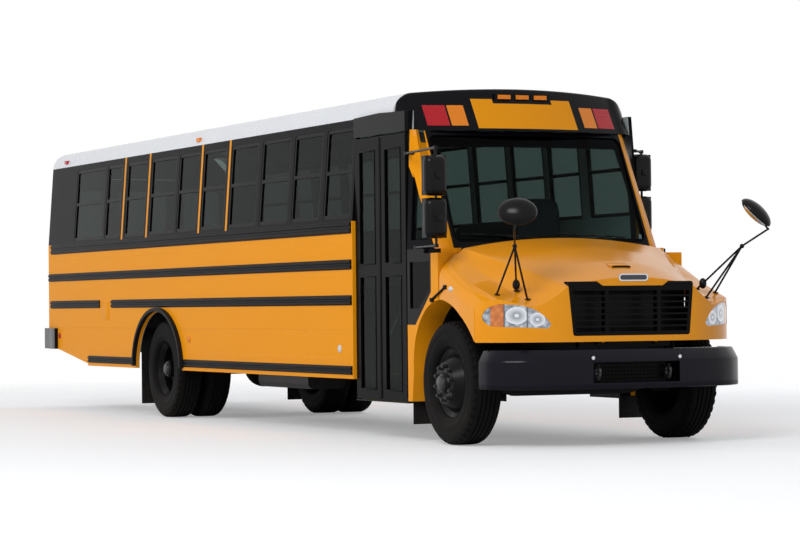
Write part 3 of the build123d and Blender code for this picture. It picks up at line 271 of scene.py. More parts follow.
# Tyres: moulded black rubber with ribbed treads, rounded shoulders with cross cuts, and a raised
# ring on each side wall. The pair of each rear hub turns together.
def piece(name, mesh, material, body="root", crease=32.0):
    """Closes a bmesh into a piece that rides on a body."""
    bmesh.ops.remove_doubles(mesh, verts=mesh.verts, dist=0.00005)
    bmesh.ops.recalc_face_normals(mesh, faces=mesh.faces)
    data = bpy.data.meshes.new(name)
    mesh.to_mesh(data)
    mesh.free()
    data.shade_smooth()
    data.set_sharp_from_angle(angle=radians(crease))
    data.materials.append(material)
    shown = bpy.data.objects.new(name, data)
    scene.collection.objects.link(shown)
    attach(shown, body)
    return shown


def turned(mesh, outline, centre, steps, closed=True):
    """Spins an outline of (distance to the outside, radius) round the wheel's axis at centre."""
    x, y, z = centre
    side = -1 if y < 0 else 1
    ring = [mesh.verts.new((x, y + side * a, z + r)) for a, r in outline]
    pairs = list(zip(ring, ring[1:]))
    if closed:
        pairs.append((ring[-1], ring[0]))
    lines = [mesh.edges.new(pair) for pair in pairs]
    bmesh.ops.spin(mesh, geom=ring + lines, cent=centre, axis=(0, 1, 0), angle=2 * pi, steps=steps,
                   use_merge=True)


tyre_radius = 0.522
wheelbase = 7.087
outer_y, inner_y = 1.032, 0.702
tread_steps = 84
half_tread = (
    (0.014, 0.5215), (0.015, 0.510), (0.026, 0.510), (0.027, 0.5215), (0.054, 0.5212), (0.055, 0.509),
    (0.067, 0.509), (0.068, 0.5205), (0.096, 0.5185), (0.112, 0.511), (0.126, 0.494), (0.134, 0.462),
    (0.1375, 0.425), (0.1355, 0.418), (0.1355, 0.408), (0.1375, 0.400), (0.134, 0.352), (0.126, 0.326),
    (0.129, 0.320), (0.122, 0.306), (0.107, 0.292), (0.094, 0.2868),
)
tyre_outline = [(-a, r) for a, r in reversed(half_tread)] + list(half_tread)
tyre_rubber = finish("tyre_rubber", (0.0055, 0.005, 0.005), roughness=0.62, spread=0.2, specular=0.06,
                     dust=0.04, dust_top=0.7, grain=0.3)
# name, replaced node, body, x of the axle, distances of the tyres' middles from the bus's middle
tyre_sets = (
    ("treads_front_right", "tyre_front_right", "front_wheel_right", 0.0, (-outer_y,)),
    ("treads_front_left", "tyre_front_left", "front_wheel_left", 0.0, (outer_y,)),
    ("treads_rear_right", "tyres_rear_right", "rear_wheels_right", -wheelbase, (-outer_y, -inner_y)),
    ("treads_rear_left", "tyres_rear_left", "rear_wheels_left", -wheelbase, (outer_y, inner_y)),
)
for name, node_name, body, axle, middles in tyre_sets:
    mesh = bmesh.new()
    for y in middles:
        turned(mesh, tyre_outline, (fx(axle), y, tyre_radius), tread_steps)
    mesh.verts.ensure_lookup_table()
    mesh.faces.ensure_lookup_table()
    shoulders = []
    for face in mesh.faces:
        spot = face.calc_center_median()
        reach = min(abs(spot.y - y) for y in middles)
        turn = Vector((spot.x - fx(axle), 0, spot.z - tyre_radius))
        if 0.098 < reach < 0.130 and turn.length > 0.495:
            count = int((turn.angle(Vector((1, 0, 0))) / (2 * pi)) * tread_steps)
            if count % 2:
                shoulders.append(face)
    bmesh.ops.inset_individual(mesh, faces=shoulders, thickness=0.003, depth=-0.006)
    tread = piece(name, mesh, tyre_rubber, body, crease=38.0)
    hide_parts(node_name)


# Wheels: pressed steel discs in black enamel on ten studs, with a bolted cap on each hub.
# The front discs dish outwards and the outer rear ones inwards.
def bar(mesh, start, end, radius, sides=12, end_radius=None):
    """A round bar from one point to another."""
    start, end = Vector(start), Vector(end)
    turn = (end - start).to_track_quat("Z", "Y").to_matrix().to_4x4()
    bmesh.ops.create_cone(
        mesh, cap_ends=True, segments=sides, radius1=radius,
        radius2=radius if end_radius is None else end_radius, depth=(end - start).length,
        matrix=Matrix.Translation((start + end) / 2) @ turn,
    )


def slab(mesh, low, high, edge=0.0, steps=2):
    """A box between two corners, with rounded edges where edge is given."""
    low, high = Vector(map(min, low, high)), Vector(map(max, low, high))
    made = bmesh.ops.create_cube(
        mesh, size=1.0, matrix=Matrix.Translation((low + high) / 2) @ Matrix.Diagonal((*(high - low), 1)))
    if edge:
        edges = list({e for v in made["verts"] for e in v.link_edges})
        bmesh.ops.bevel(mesh, geom=edges, offset=edge, segments=steps, profile=0.5, affect="EDGES",
                        material=-1)


wheel_enamel = finish("wheel_enamel", (0.0035, 0.0035, 0.004), roughness=0.28, specular=0.12,
                      dust=0.04, dust_top=0.8)
nut_steel = finish("nut_steel", (0.055, 0.055, 0.058), roughness=0.32, metallic=0.7, dust=0.2, dust_top=0.8)
dress(wheel_enamel, "wheel_front_right", "wheel_front_left", "wheels_rear_right", "wheels_rear_left")
stud_circle, stud_count = 0.1425, 10
cap_circle, cap_bolts = 0.068, 6
# from the disc's face out: washer, nut and stud, each with its radii
stud_parts = (
    (-0.002, 0.006, 0.023, 16, 0.023), (0.005, 0.026, 0.0175, 6, 0.0175), (0.024, 0.034, 0.011, 12, 0.009),
)
cap = ((-0.006, 0.0), (-0.006, 0.074), (0.004, 0.074), (0.006, 0.064), (0.020, 0.060), (0.026, 0.050),
       (0.028, 0.0))
# name, body, x of the axle, side, y of the disc's face, y of the hub's end
hubs = (
    ("studs_front_right", "front_wheel_right", 0.0, -1, 1.194, 1.220),
    ("studs_front_left", "front_wheel_left", 0.0, 1, 1.194, 1.220),
    ("studs_rear_right", "rear_wheels_right", -wheelbase, -1, 0.886, 1.122),
    ("studs_rear_left", "rear_wheels_left", -wheelbase, 1, 0.886, 1.122),
)
for name, body, axle, side, disc, hub_end in hubs:
    mesh = bmesh.new()
    for count in range(stud_count):
        turn = 2 * pi * count / stud_count + 0.2
        x = fx(axle) + stud_circle * cos(turn)
        z = tyre_radius + stud_circle * sin(turn)
        for start, end, radius, sides, end_radius in stud_parts:
            bar(mesh, (x, side * (disc + start), z), (x, side * (disc + end), z), radius, sides, end_radius)
    turned(mesh, cap, (fx(axle), side * hub_end, tyre_radius), 40, closed=False)
    for count in range(cap_bolts):
        turn = 2 * pi * count / cap_bolts
        x = fx(axle) + cap_circle * cos(turn)
        z = tyre_radius + cap_circle * sin(turn)
        bar(mesh, (x, side * hub_end, z), (x, side * (hub_end + 0.010), z), 0.007, 6)
    piece(name, mesh, nut_steel, body)


# Engine, fuel tank and exhaust: grey iron under the hood, a black tank with straps outside the
# kerb rail, and a dull steel muffler with its pipe outside the other.
iron = finish("engine_iron", (0.03, 0.03, 0.032), roughness=0.6, metallic=0.3, specular=0.3, dust=0.2)
tank_paint = finish("tank_paint", (0.007, 0.007, 0.008), roughness=0.4, specular=0.2, dust=0.15)
exhaust_steel = finish("exhaust_steel", (0.16, 0.155, 0.15), roughness=0.45, metallic=0.8, dust=0.4)
dress(iron, "engine_block")
dress(tank_paint, "fuel_tank")
dress(exhaust_steel, "exhaust")


# Bay shields: black pressed sheets in front of the radiator and beside the engine.
mesh = bmesh.new()
slab(mesh, (fx(0.905), -0.60, 0.925), (fx(0.912), 0.60, 1.335), 0.002)
for side in (-1, 1):
    slab(mesh, (fx(-0.05), side * 0.500, 0.925), (fx(0.906), side * 0.505, 1.300), 0.002)
piece("bay_shields", mesh, tank_paint)


# Floor: ribbed black covering on plywood over steel, down the three steps of the entrance.
def ribs(tree):
    """Height of fine ribs across the bus."""
    across = node(tree, "ShaderNodeSeparateXYZ", Vector=object_place(tree)).outputs["Y"]
    wave = maths(tree, "SINE", times(tree, across, 420.0))
    return times(tree, wave, 0.5)


floor_cover = finish("floor_cover", (0.022, 0.023, 0.024), roughness=0.7, specular=0.3, grain=0.5,
                     relief=ribs)
dress(floor_cover, "floor")


# Step edges: yellow plastic nosings on the steps, and two steel grab rails inside the entrance.
floor_z = 1.0
nosing_plastic = finish("nosing_plastic", (0.75, 0.55, 0.04), roughness=0.5, grain=0.2)
rail_steel = finish("rail_steel", (0.55, 0.56, 0.57), roughness=0.22, metallic=1.0)
mesh = bmesh.new()
for z, y in ((0.350, -1.148), (0.573, -0.933), (0.796, -0.718), (floor_z, -0.503)):
    slab(mesh, (fx(-1.80), y - 0.003, z - 0.018), (fx(-0.795), y + 0.045, z + 0.004), 0.003)
piece("step_nosings", mesh, nosing_plastic)
mesh = bmesh.new()
for x in (-1.79, -0.80):
    bar(mesh, (fx(x), -0.96, 0.75), (fx(x), -0.52, 1.62), 0.014)
    bar(mesh, (fx(x), -0.52, 1.62), (fx(x), -0.52, floor_z), 0.014)
    bar(mesh, (fx(x), -0.96, 0.75), (fx(x), -0.96, 0.55), 0.014)
piece("grab_rails", mesh, rail_steel)


# Side walls: steel sheet on hoops, in bright yellow enamel, and black from the belt rail to the
# eaves but for yellow strips beside the emergency windows. Inside they are pale grey enamel.
yellow = (0.94, 0.345, 0.006)
black = (0.004, 0.004, 0.0055)
pale_grey = (0.42, 0.47, 0.45)
belt_z = 1.945
eave_z = 2.867
strip_places = (-8.30, -7.475, -5.84, -5.04)
strip_width = 0.05


def above(tree, value, limit):
    """1 where value > limit, else 0."""
    return maths(tree, "GREATER_THAN", value, limit)


def below(tree, value, limit):
    """1 where value < limit, else 0."""
    return maths(tree, "LESS_THAN", value, limit)


def all_of(tree, first, *masks):
    """1 where every mask is 1."""
    for mask in masks:
        first = times(tree, first, mask)
    return first


def any_of(tree, first, *masks):
    """1 where any mask is 1."""
    for mask in masks:
        first = maths(tree, "MAXIMUM", first, mask)
    return first


def inside(tree, value, low, high):
    """1 where low < value < high, else 0."""
    return all_of(tree, above(tree, value, low), below(tree, value, high))


def coordinates(tree):
    """X, size of Y, and Z in the part's own frame."""
    split = node(tree, "ShaderNodeSeparateXYZ", Vector=object_place(tree))
    return split.outputs["X"], maths(tree, "ABSOLUTE", split.outputs["Y"]), split.outputs["Z"]


def wall_inside(tree, wide, z, depth):
    """1 on faces further in than depth from the outside of the side wall."""
    leaning = maths(tree, "MAXIMUM", minus(tree, z, 1.93), 0.0)
    skin = minus(tree, 1.219 - depth, times(tree, leaning, 0.0736))
    return below(tree, wide, skin)


def wall_scheme(tree):
    """Colours of the side walls."""
    x, wide, z = coordinates(tree)
    band = inside(tree, z, belt_z, eave_z)
    half = strip_width / 2
    strips = any_of(tree, *(inside(tree, x, fx(spot) - half, fx(spot) + half) for spot in strip_places))
    dark = all_of(tree, band, minus(tree, 1.0, strips))
    outer = blend_colour(tree, dark, yellow, black)
    return blend_colour(tree, wall_inside(tree, wide, z, 0.035), outer, pale_grey)


def wall_relief(tree):
    """Shallow seams where the sheets lap, every 2.4 m and along the floor line."""
    x, _, z = coordinates(tree)
    joint = maths(tree, "PINGPONG", maths(tree, "ADD", x, 0.2), 1.2)
    upright = below(tree, joint, 0.006)
    level = inside(tree, z, 0.957, 0.965)
    return times(tree, any_of(tree, upright, level), -1.0)


wall_enamel = finish("wall_enamel", yellow, roughness=0.32, spread=0.06, specular=0.03, dust=0.12,
                     dust_top=0.8, scheme=wall_scheme, grain=0.6, relief=wall_relief)
dress(wall_enamel, "body_side_right", "body_side_left")


# Rub rails: rolled steel channels with two ridges, riveted along the side walls, in black enamel.
def extruded(mesh, outline, start, along):
    """Draws a closed outline of points at start out by a vector."""
    ring = [mesh.verts.new(Vector(start) + Vector(point)) for point in outline]
    face = mesh.faces.new(ring)
    drawn = bmesh.ops.extrude_face_region(mesh, geom=[face])
    moved = [v for v in drawn["geom"] if isinstance(v, bmesh.types.BMVert)]
    bmesh.ops.translate(mesh, vec=along, verts=moved)


black_enamel = finish("black_enamel", black, roughness=0.32, spread=0.08, specular=0.04, dust=0.05)
# z of the middle, height, x of the ends
rub_rail_runs = (
    (1.890, 0.115, -10.90, -1.87), (1.553, 0.092, -11.00, -1.87), (1.230, 0.092, -10.93, -9.07),
    (1.230, 0.092, -8.65, -1.87), (0.596, 0.080, -9.50, -7.88), (0.596, 0.080, -6.30, -1.87),
)
# distance from the wall, share of the height
rub_rail_section = (
    (0.000, -0.50), (0.004, -0.50), (0.006, -0.40), (0.018, -0.34), (0.018, -0.16), (0.009, -0.08),
    (0.009, 0.08), (0.018, 0.16), (0.018, 0.34), (0.006, 0.40), (0.004, 0.50), (0.000, 0.50),
)
skin_y = 1.2192
mesh = bmesh.new()
for middle, height, x0, x1 in rub_rail_runs:
    for side in (-1, 1):
        outline = [(0, side * out, middle + part * height) for out, part in rub_rail_section]
        extruded(mesh, outline, (fx(x0), side * skin_y, 0), (x1 - x0, 0, 0))
rails = piece("ridged_rails", mesh, black_enamel, "root")
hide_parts("rub_rails")

# Rivets: domed heads along the floor seam, the skirt and under the rails, one every 0.12 m.
rivet_pitch = 0.12
# z, x of the ends
rivet_rows = (
    (0.945, -10.9, -8.0), (0.945, -6.2, -1.95), (0.70, -9.5, -8.0), (0.70, -6.1, -1.95),
    (1.46, -10.9, -1.95), (1.76, -10.9, -1.95),
)
mesh = bmesh.new()
for side in (-1, 1):
    for z, x0, x1 in rivet_rows:
        for count in range(int((x1 - x0) / rivet_pitch)):
            x = fx(x0 + rivet_pitch * count)
            bar(mesh, (x, side * (skin_y - 0.002), z), (x, side * (skin_y + 0.003), z), 0.0075, 8, 0.004)
piece("wall_rivets", mesh, finish("rivet_enamel", yellow, roughness=0.25, coat=0.3), "root")


# Side windows: black aluminium sashes that slide down, each with a grip on its meeting rail,
# and panes of dark tinted safety glass.
def glazed(name, tint, roughness=0.015, scheme=None):
    """Glass that lets the lamps light what is behind it; scheme gives the tint over the pane."""
    material = new_material(name)
    tree = material.node_tree
    streaks = group_in(tree, surface_group, Scale=6.0, Roughness=roughness, Spread=0.02)
    colour = scheme(tree) if scheme else (*tint, 1)
    shader = node(tree, "ShaderNodeBsdfPrincipled", Base_Color=colour, Transmission_Weight=1.0, IOR=1.10,
                  Roughness=streaks.outputs["Roughness"])
    through = node(tree, "ShaderNodeBsdfTransparent", Color=(*tint, 1))
    ray = node(tree, "ShaderNodeLightPath").outputs["Is Shadow Ray"]
    mixed = node(tree, "ShaderNodeMixShader", i0=ray, i1=shader.outputs[0], i2=through.outputs[0])
    node(tree, "ShaderNodeOutputMaterial", Surface=mixed.outputs[0])
    return material


def block(mesh, middle, halves, edge=0.0, steps=2):
    """A slab given by its middle and half sizes."""
    middle, halves = Vector(middle), Vector(halves)
    slab(mesh, middle - halves, middle + halves, edge, steps)


sash_metal = finish("sash_metal", (0.003, 0.003, 0.004), roughness=0.3, specular=0.05)
dark_glass = glazed("side_glazing", (0.085, 0.115, 0.105))
dress(sash_metal, "window_sashes")
dress(dark_glass, "side_glass", "rear_door_glass")
window_middles = (-9.51, -8.645, -7.88, -7.005, -6.207, -5.447, -4.61, -3.775, -2.967, -2.217)
mesh = bmesh.new()
for side in (-1, 1):
    for x in window_middles:
        for part in (-0.17, 0.17):
            block(mesh, (fx(x + part), side * 1.154, 2.398), (0.03, 0.012, 0.006), 0.003)
piece("sash_grips", mesh, sash_metal, "root")


# Passenger seats: padded benches in dark vinyl, sewn over foam on a steel frame with one leg at
# the aisle and a rail at the wall. The driver's seat is taller, on a pedestal.
def cushion(mesh, low, high, round_times=3):
    """A stuffed pad between two corners, fullest in its middle."""
    low, high = Vector(map(min, low, high)), Vector(map(max, low, high))
    size = high - low
    others = set(mesh.verts)
    made = bmesh.ops.create_cube(
        mesh, size=1.0, matrix=Matrix.Translation((low + high) / 2) @ Matrix.Diagonal((*size, 1)))
    edges = list({e for v in made["verts"] for e in v.link_edges})
    bmesh.ops.subdivide_edges(mesh, edges=edges, cuts=5, use_grid_fill=True)
    verts = [v for v in mesh.verts if v not in others]
    for _ in range(round_times):
        bmesh.ops.smooth_vert(mesh, verts=verts, factor=0.5, use_axis_x=True, use_axis_y=True,
                              use_axis_z=True)
    for i in range(3):
        least = min(v.co[i] for v in verts)
        most = max(v.co[i] for v in verts)
        for v in verts:
            v.co[i] = low[i] + (v.co[i] - least) / (most - least) * size[i]


seat_vinyl = finish("seat_vinyl", (0.018, 0.032, 0.036), roughness=0.45, grain=0.5, grain_scale=700.0)
seat_frame = finish("seat_frame", (0.02, 0.02, 0.022), roughness=0.45, specular=0.35)
pads = bmesh.new()
legs = bmesh.new()
seat_rows, seat_pitch = 11, 0.78
on_floor = floor_z + 0.0005
for row in range(seat_rows):
    x = fx(-10.5 + seat_pitch * row)
    for side in (-1, 1):
        cushion(pads, (x - 0.002, side * 0.252, 1.358), (x + 0.428, side * 1.163, 1.452))
        cushion(pads, (x - 0.088, side * 0.252, 1.36), (x - 0.004, side * 1.163, 1.958))
        slab(legs, (x - 0.06, side * 0.30, 1.335), (x + 0.40, side * 1.12, 1.357), 0.004)
        for leg_x in (x + 0.07, x + 0.33):
            bar(legs, (leg_x, side * 0.31, on_floor), (leg_x, side * 0.31, 1.345), 0.014)
        slab(legs, (x + 0.04, side * 0.285, on_floor), (x + 0.36, side * 0.335, 1.008))
benches = piece("passenger_benches", pads, seat_vinyl, "root", crease=60.0)
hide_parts("passenger_seats")
piece("bench_frames", legs, seat_frame)
pads = bmesh.new()
cushion(pads, (fx(-1.56), 0.335, 1.345), (fx(-1.085), 0.805, 1.452))
cushion(pads, (fx(-1.648), 0.345, 1.42), (fx(-1.565), 0.795, 2.148), 4)
driver_pads = piece("driver_pads", pads, seat_vinyl, "root", crease=60.0)
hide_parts("driver_seat")
mesh = bmesh.new()
slab(mesh, (fx(-1.54), 0.38, 1.325), (fx(-1.12), 0.76, 1.344), 0.004)
slab(mesh, (fx(-1.46), 0.42, 1.10), (fx(-1.20), 0.72, 1.326), 0.02)
slab(mesh, (fx(-1.50), 0.38, on_floor), (fx(-1.16), 0.76, 1.10), 0.01)
slab(mesh, (fx(-1.60), 0.52, 1.33), (fx(-1.56), 0.62, 1.50), 0.006)
piece("driver_pedestal", mesh, seat_frame)


# Roof: one curved skin of lapped sheets in white enamel over hoops, and a moulded hatch lid.
def roof_relief(tree):
    """Seams across the roof where its sheets lap, every 1.6 m."""
    x, _, _ = coordinates(tree)
    joint = maths(tree, "PINGPONG", maths(tree, "ADD", x, 0.5), 0.8)
    return below(tree, joint, 0.008)


white_enamel = finish("white_enamel", (0.79, 0.80, 0.82), roughness=0.28, coat=0.2, grain=0.5,
                      relief=roof_relief)
hatch_plastic = finish("hatch_plastic", (0.74, 0.75, 0.77), roughness=0.4, grain=0.15)
dress(white_enamel, "roof")
dress(hatch_plastic, "roof_hatch_rear")


# Rear: a flat wall with a hinged emergency door that has a vertical bar handle, and windows in
# black rubber frames.
def rear_scheme(tree):
    """Colours of the rear wall and its door: yellow outside, pale grey inside."""
    x, _, _ = coordinates(tree)
    return blend_colour(tree, above(tree, x, fx(-11.045)), yellow, pale_grey)


rear_enamel = finish("rear_enamel", yellow, roughness=0.32, specular=0.03, dust=0.2, scheme=rear_scheme)
handle_steel = finish("handle_steel", (0.30, 0.30, 0.31), roughness=0.3, metallic=0.9)
trim_rubber = finish("trim_rubber", (0.004, 0.004, 0.0045), roughness=0.5, specular=0.06, grain=0.15)
dress(rear_enamel, "rear_wall", "rear_door")


def strips_round(a0, a1, z0, z1, width):
    """The four strips round a window, each as two corners in its plane."""
    return (
        ((a0 - width, z1), (a1 + width, z1 + width)), ((a0 - width, z0 - width), (a1 + width, z0)),
        ((a0 - width, z0), (a0, z1)), ((a1, z0), (a1 + width, z1)),
    )


def window_frame(mesh, x, half_wide, z0, z1, middle_y=0.0):
    """A rubber strip round a window in a wall across the bus, standing out to the rear."""
    for low, high in strips_round(middle_y - half_wide, middle_y + half_wide, z0, z1, 0.022):
        slab(mesh, (x - 0.010, *low), (x, *high), 0.003)


wall_back = fx(-11.070)
door_back = fx(-11.076)
mesh = bmesh.new()
for side in (-1, 1):
    window_frame(mesh, wall_back, 0.24, 1.99, 2.61, side * 0.76)
piece("rear_window_rubber", mesh, trim_rubber)
mesh = bmesh.new()
window_frame(mesh, door_back, 0.31, 1.99, 2.61)
window_frame(mesh, door_back, 0.31, 1.27, 1.69)
piece("rear_door_rubber", mesh, trim_rubber, "rear_door")
mesh = bmesh.new()
bar(mesh, (door_back - 0.032, 0.35, 1.22), (door_back - 0.032, 0.35, 1.62), 0.011)
for z in (1.23, 1.61):
    bar(mesh, (door_back + 0.001, 0.35, z), (door_back - 0.032, 0.35, z), 0.011)
    block(mesh, (door_back - 0.003, 0.35, z), (0.003, 0.025, 0.03), 0.002)
piece("rear_door_handle", mesh, handle_steel, "rear_door")


# Signal lamps: faceted plastic lenses in black bezels. Red for stop and warning, amber for
# turning and clearance.
red = (0.52, 0.006, 0.016)
amber = (0.90, 0.25, 0.008)


def lamp_scheme(tree):
    """Red lenses, but amber for the inner ones in front and for those on the middle of the eaves."""
    x, wide, _ = coordinates(tree)
    inner = all_of(tree, above(tree, x, fx(-2.0)), below(tree, wide, 0.726))
    eave = inside(tree, x, fx(-6.3), fx(-5.6))
    return blend_colour(tree, any_of(tree, inner, eave), red, amber)


def rear_lamp_scheme(tree):
    """Amber for the inner warning lamps and the lower round lamps."""
    _, wide, z = coordinates(tree)
    inner = all_of(tree, above(tree, z, 2.7), below(tree, wide, 0.74))
    return blend_colour(tree, any_of(tree, inner, below(tree, z, 1.45)), red, amber)


def facets(tree):
    """Height of a lens's moulded prisms."""
    return node(tree, "ShaderNodeTexVoronoi", Vector=object_place(tree), Scale=45.0).outputs["Distance"]


for name, scheme, shown in (
    ("front_lens", lamp_scheme, "marker_lamps"), ("rear_lens", rear_lamp_scheme, "rear_lamps"),
):
    lens = finish(name, red, roughness=0.15, specular=0.25, scheme=scheme, grain=0.9, relief=facets)
    dress(lens, shown)
bezel_section = ((0.0, 0.089), (0.0, 0.104), (0.020, 0.100), (0.024, 0.094), (0.020, 0.089))
mesh = bmesh.new()
for y in (-0.86, 0.86):
    for z in (1.56, 1.34):
        points = [mesh.verts.new((wall_back - a, y, z + r)) for a, r in bezel_section]
        lines = [mesh.edges.new(pair) for pair in zip(points, points[1:] + points[:1])]
        bmesh.ops.spin(mesh, geom=points + lines, cent=(wall_back, y, z), axis=(1, 0, 0), angle=2 * pi,
                       steps=36, use_merge=True)
piece("rear_lamp_bezels", mesh, trim_rubber)
# round reflectors on the skirt: name, x, z, colour
reflector_section = ((-0.002, 0.0), (-0.002, 0.036), (0.006, 0.036), (0.010, 0.030), (0.011, 0.0))
for name, x, z, colour in (
    ("rear_reflectors", -10.60, 0.86, red), ("mid_reflectors", -6.13, 0.85, amber),
    ("clear_reflectors", -2.15, 0.79, (0.70, 0.71, 0.72)),
):
    mesh = bmesh.new()
    for side in (-1, 1):
        turned(mesh, reflector_section, (fx(x), side * skin_y, z), 28, closed=False)
    lens = finish(name, colour, roughness=0.15, specular=0.25, grain=0.8, relief=facets)
    piece(name, mesh, lens, "root")
mesh = bmesh.new()
slab(mesh, (fx(-9.0), -skin_y - 0.004, 1.05), (fx(-8.75), -skin_y + 0.001, 1.25), 0.002)
flap_enamel = finish("flap_enamel", yellow, roughness=0.32, specular=0.03)
piece("filler_flap", mesh, flap_enamel, "root")


# Cab front: welded steel scuttle and pillars. Yellow on the pillars and the lower sides, and
# black round the windshield and the quarter glass, inside and over the scuttle.
cowl_x = -0.262
cowl_foot_z = 1.29


def cab_scheme(tree):
    """Colours of the cab front."""
    x, wide, z = coordinates(tree)
    pillar_line = maths(tree, "ADD", minus(tree, x, fx(-0.602)), times(tree, minus(tree, z, 2.118), 0.526))
    pillar = all_of(tree, above(tree, pillar_line, 0.0), above(tree, z, 1.66))
    ahead = all_of(tree, above(tree, x, fx(cowl_x)), below(tree, z, 1.69))
    slant = minus(tree, times(tree, minus(tree, x, fx(cowl_x)), 0.88), minus(tree, z, cowl_foot_z))
    foot = all_of(tree, above(tree, slant, 0.0), below(tree, z, cowl_foot_z))
    leg = below(tree, z, 1.01)
    outside = above(tree, wide, 0.962)
    return blend_colour(tree, all_of(tree, any_of(tree, pillar, ahead, foot, leg), outside), black, yellow)


cab_enamel = finish("cab_enamel", yellow, roughness=0.24, specular=0.06, dust=0.1, scheme=cab_scheme)
dress(cab_enamel, "cab_front")


windshield_tint = (0.30, 0.38, 0.37)
frit_navy = (0.002, 0.004, 0.010)


def frit_scheme(tree):
    """Clear glass in a printed navy border, deep at the top of the windshield."""
    _, wide, z = coordinates(tree)
    top = above(tree, z, 2.555)
    lean_in = maths(tree, "ADD", wide, times(tree, minus(tree, z, 1.70), 0.045))
    ends = all_of(tree, above(tree, lean_in, 0.915), below(tree, wide, 0.97))
    foot = below(tree, z, 1.745)
    return blend_colour(tree, any_of(tree, top, ends, foot), windshield_tint, frit_navy)


windshield_glass = glazed("windshield_glazing", windshield_tint, scheme=frit_scheme)
dress(windshield_glass, "cab_glass")


# Wipers: two black steel arms on posts in the scuttle, each with a rubber blade on the glass.
wiper_black = finish("wiper_black", (0.005, 0.005, 0.006), roughness=0.4, specular=0.2)


def surface_hit(name, start, way):
    """Where a ray meets a CAD node, and the normal there, or the start if it misses."""
    hit, spot, normal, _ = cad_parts[name].ray_cast(Vector(start), Vector(way))
    return (spot, normal) if hit else (Vector(start), -Vector(way))


def surface_point(name, start, way):
    """Where a ray meets a CAD node."""
    return surface_hit(name, start, way)[0]


mesh = bmesh.new()
for y0, y1 in ((-0.16, -0.86), (0.72, 0.02)):
    points = []
    for part in range(9):
        y = y0 + (y1 - y0) * part / 8
        z = 1.755 + 0.03 * part / 8
        spot = surface_point("cab_glass", (fx(1.5), y, z), (-1, 0, 0))
        points.append(spot + Vector((0.006, 0, 0)))
    spine = Vector((0.012, 0, 0.004))
    for start, end in zip(points, points[1:]):
        bar(mesh, start, end, 0.005, 6)
        bar(mesh, start + spine, end + spine, 0.0035, 6)
    post = points[0] + Vector((0.02, 0.02 if y0 > 0 else 0.05, -0.075))
    bar(mesh, post - Vector((0.03, 0, 0.02)), post + Vector((0.015, 0, 0.01)), 0.014, 12)
    bar(mesh, post + Vector((0.01, 0, 0.005)), points[4] + Vector((0.020, 0, 0.006)), 0.007, 8, 0.005)
piece("wipers", mesh, wiper_black)


# Front cap: a moulded shell in black gel coat over the windshield. It carries the warning lamps,
# a blank yellow sign panel between them and the pod of the three clearance lamps.
def cap_scheme(tree):
    """Black, with the sign panel in yellow below and beside the pod."""
    x, wide, z = coordinates(tree)
    panel = all_of(tree, below(tree, wide, 0.492), inside(tree, z, 2.722, 2.992), above(tree, x, fx(-1.0)))
    pod = all_of(tree, below(tree, wide, 0.292), above(tree, z, 2.952))
    return blend_colour(tree, all_of(tree, panel, minus(tree, 1.0, pod)), black, yellow)


cap_gel = finish("cap_gel", black, roughness=0.14, specular=0.08, scheme=cap_scheme)
dress(cap_gel, "front_cap")


# Entrance door: two glazed aluminium leaves in black, hinged at their outer edges, with soft
# rubber edges that meet in the middle.
door_metal = finish("door_metal", (0.0035, 0.0035, 0.004), roughness=0.24, specular=0.035)
door_glass = glazed("door_glazing", (0.10, 0.15, 0.14))
dress(door_metal, "door_leaf_rear", "door_leaf_front")
dress(door_glass, "door_glass_rear", "door_glass_front")
# body, x of the leaf's edges, x where the rubber of its inner edge begins
door_leaves = (("door_rear", -1.838, -1.3035, -1.3155), ("door_front", -1.2915, -0.757, -1.2970))
for body, x0, x1, meet in door_leaves:
    mesh = bmesh.new()
    slab(mesh, (fx(meet), -1.196, 0.36), (fx(meet) + 0.0175, -1.152, 2.66), 0.004)
    for z0, z1 in ((0.44, 1.43), (1.555, 2.55)):
        for (a0, b0), (a1, b1) in strips_round(fx(x0) + 0.110, fx(x1) - 0.110, z0, z1, 0.012):
            slab(mesh, (a0, -1.195, b0), (a1, -1.189, b1), 0.002)
    piece(body + "_rubber", mesh, trim_rubber, body)


# Hood: one moulded shell with both fenders, in yellow enamel. Rubber latches hold it at the
# fenders, and it has an intake slot, side marker lamps and a blank plate in a bright frame.
hood_enamel = finish("hood_enamel", yellow, roughness=0.2, spread=0.05, specular=0.22, dust=0.08)
dress(hood_enamel, "hood", crease=40.0)
mesh = bmesh.new()
for side in (-1, 1):
    points = []
    for part in range(5):
        x = -0.235 + 0.27 * part / 4
        z = 1.222 + 0.105 * part / 4
        spot = surface_point("hood", (fx(x), side * 1.6, z), (0, -side, 0))
        points.append(spot if abs(spot.y) < 1.3 else Vector((fx(x), side * 1.192, z)))
    proud = Vector((0, side * 0.006, 0))
    for start, end in zip(points, points[1:]):
        bar(mesh, start + proud, end + proud, 0.010, 8)
    for spot in (points[0], points[-1]):
        block(mesh, spot, (0.03, 0.012, 0.018), 0.006)
piece("hood_latches", mesh, trim_rubber, "hood")


def ball(mesh, spot, sizes, across=20, up=10):
    """A sphere stretched to three half sizes."""
    bmesh.ops.create_uvsphere(mesh, u_segments=across, v_segments=up, radius=1.0,
                              matrix=Matrix.Translation(spot) @ Matrix.Diagonal((*sizes, 1)))


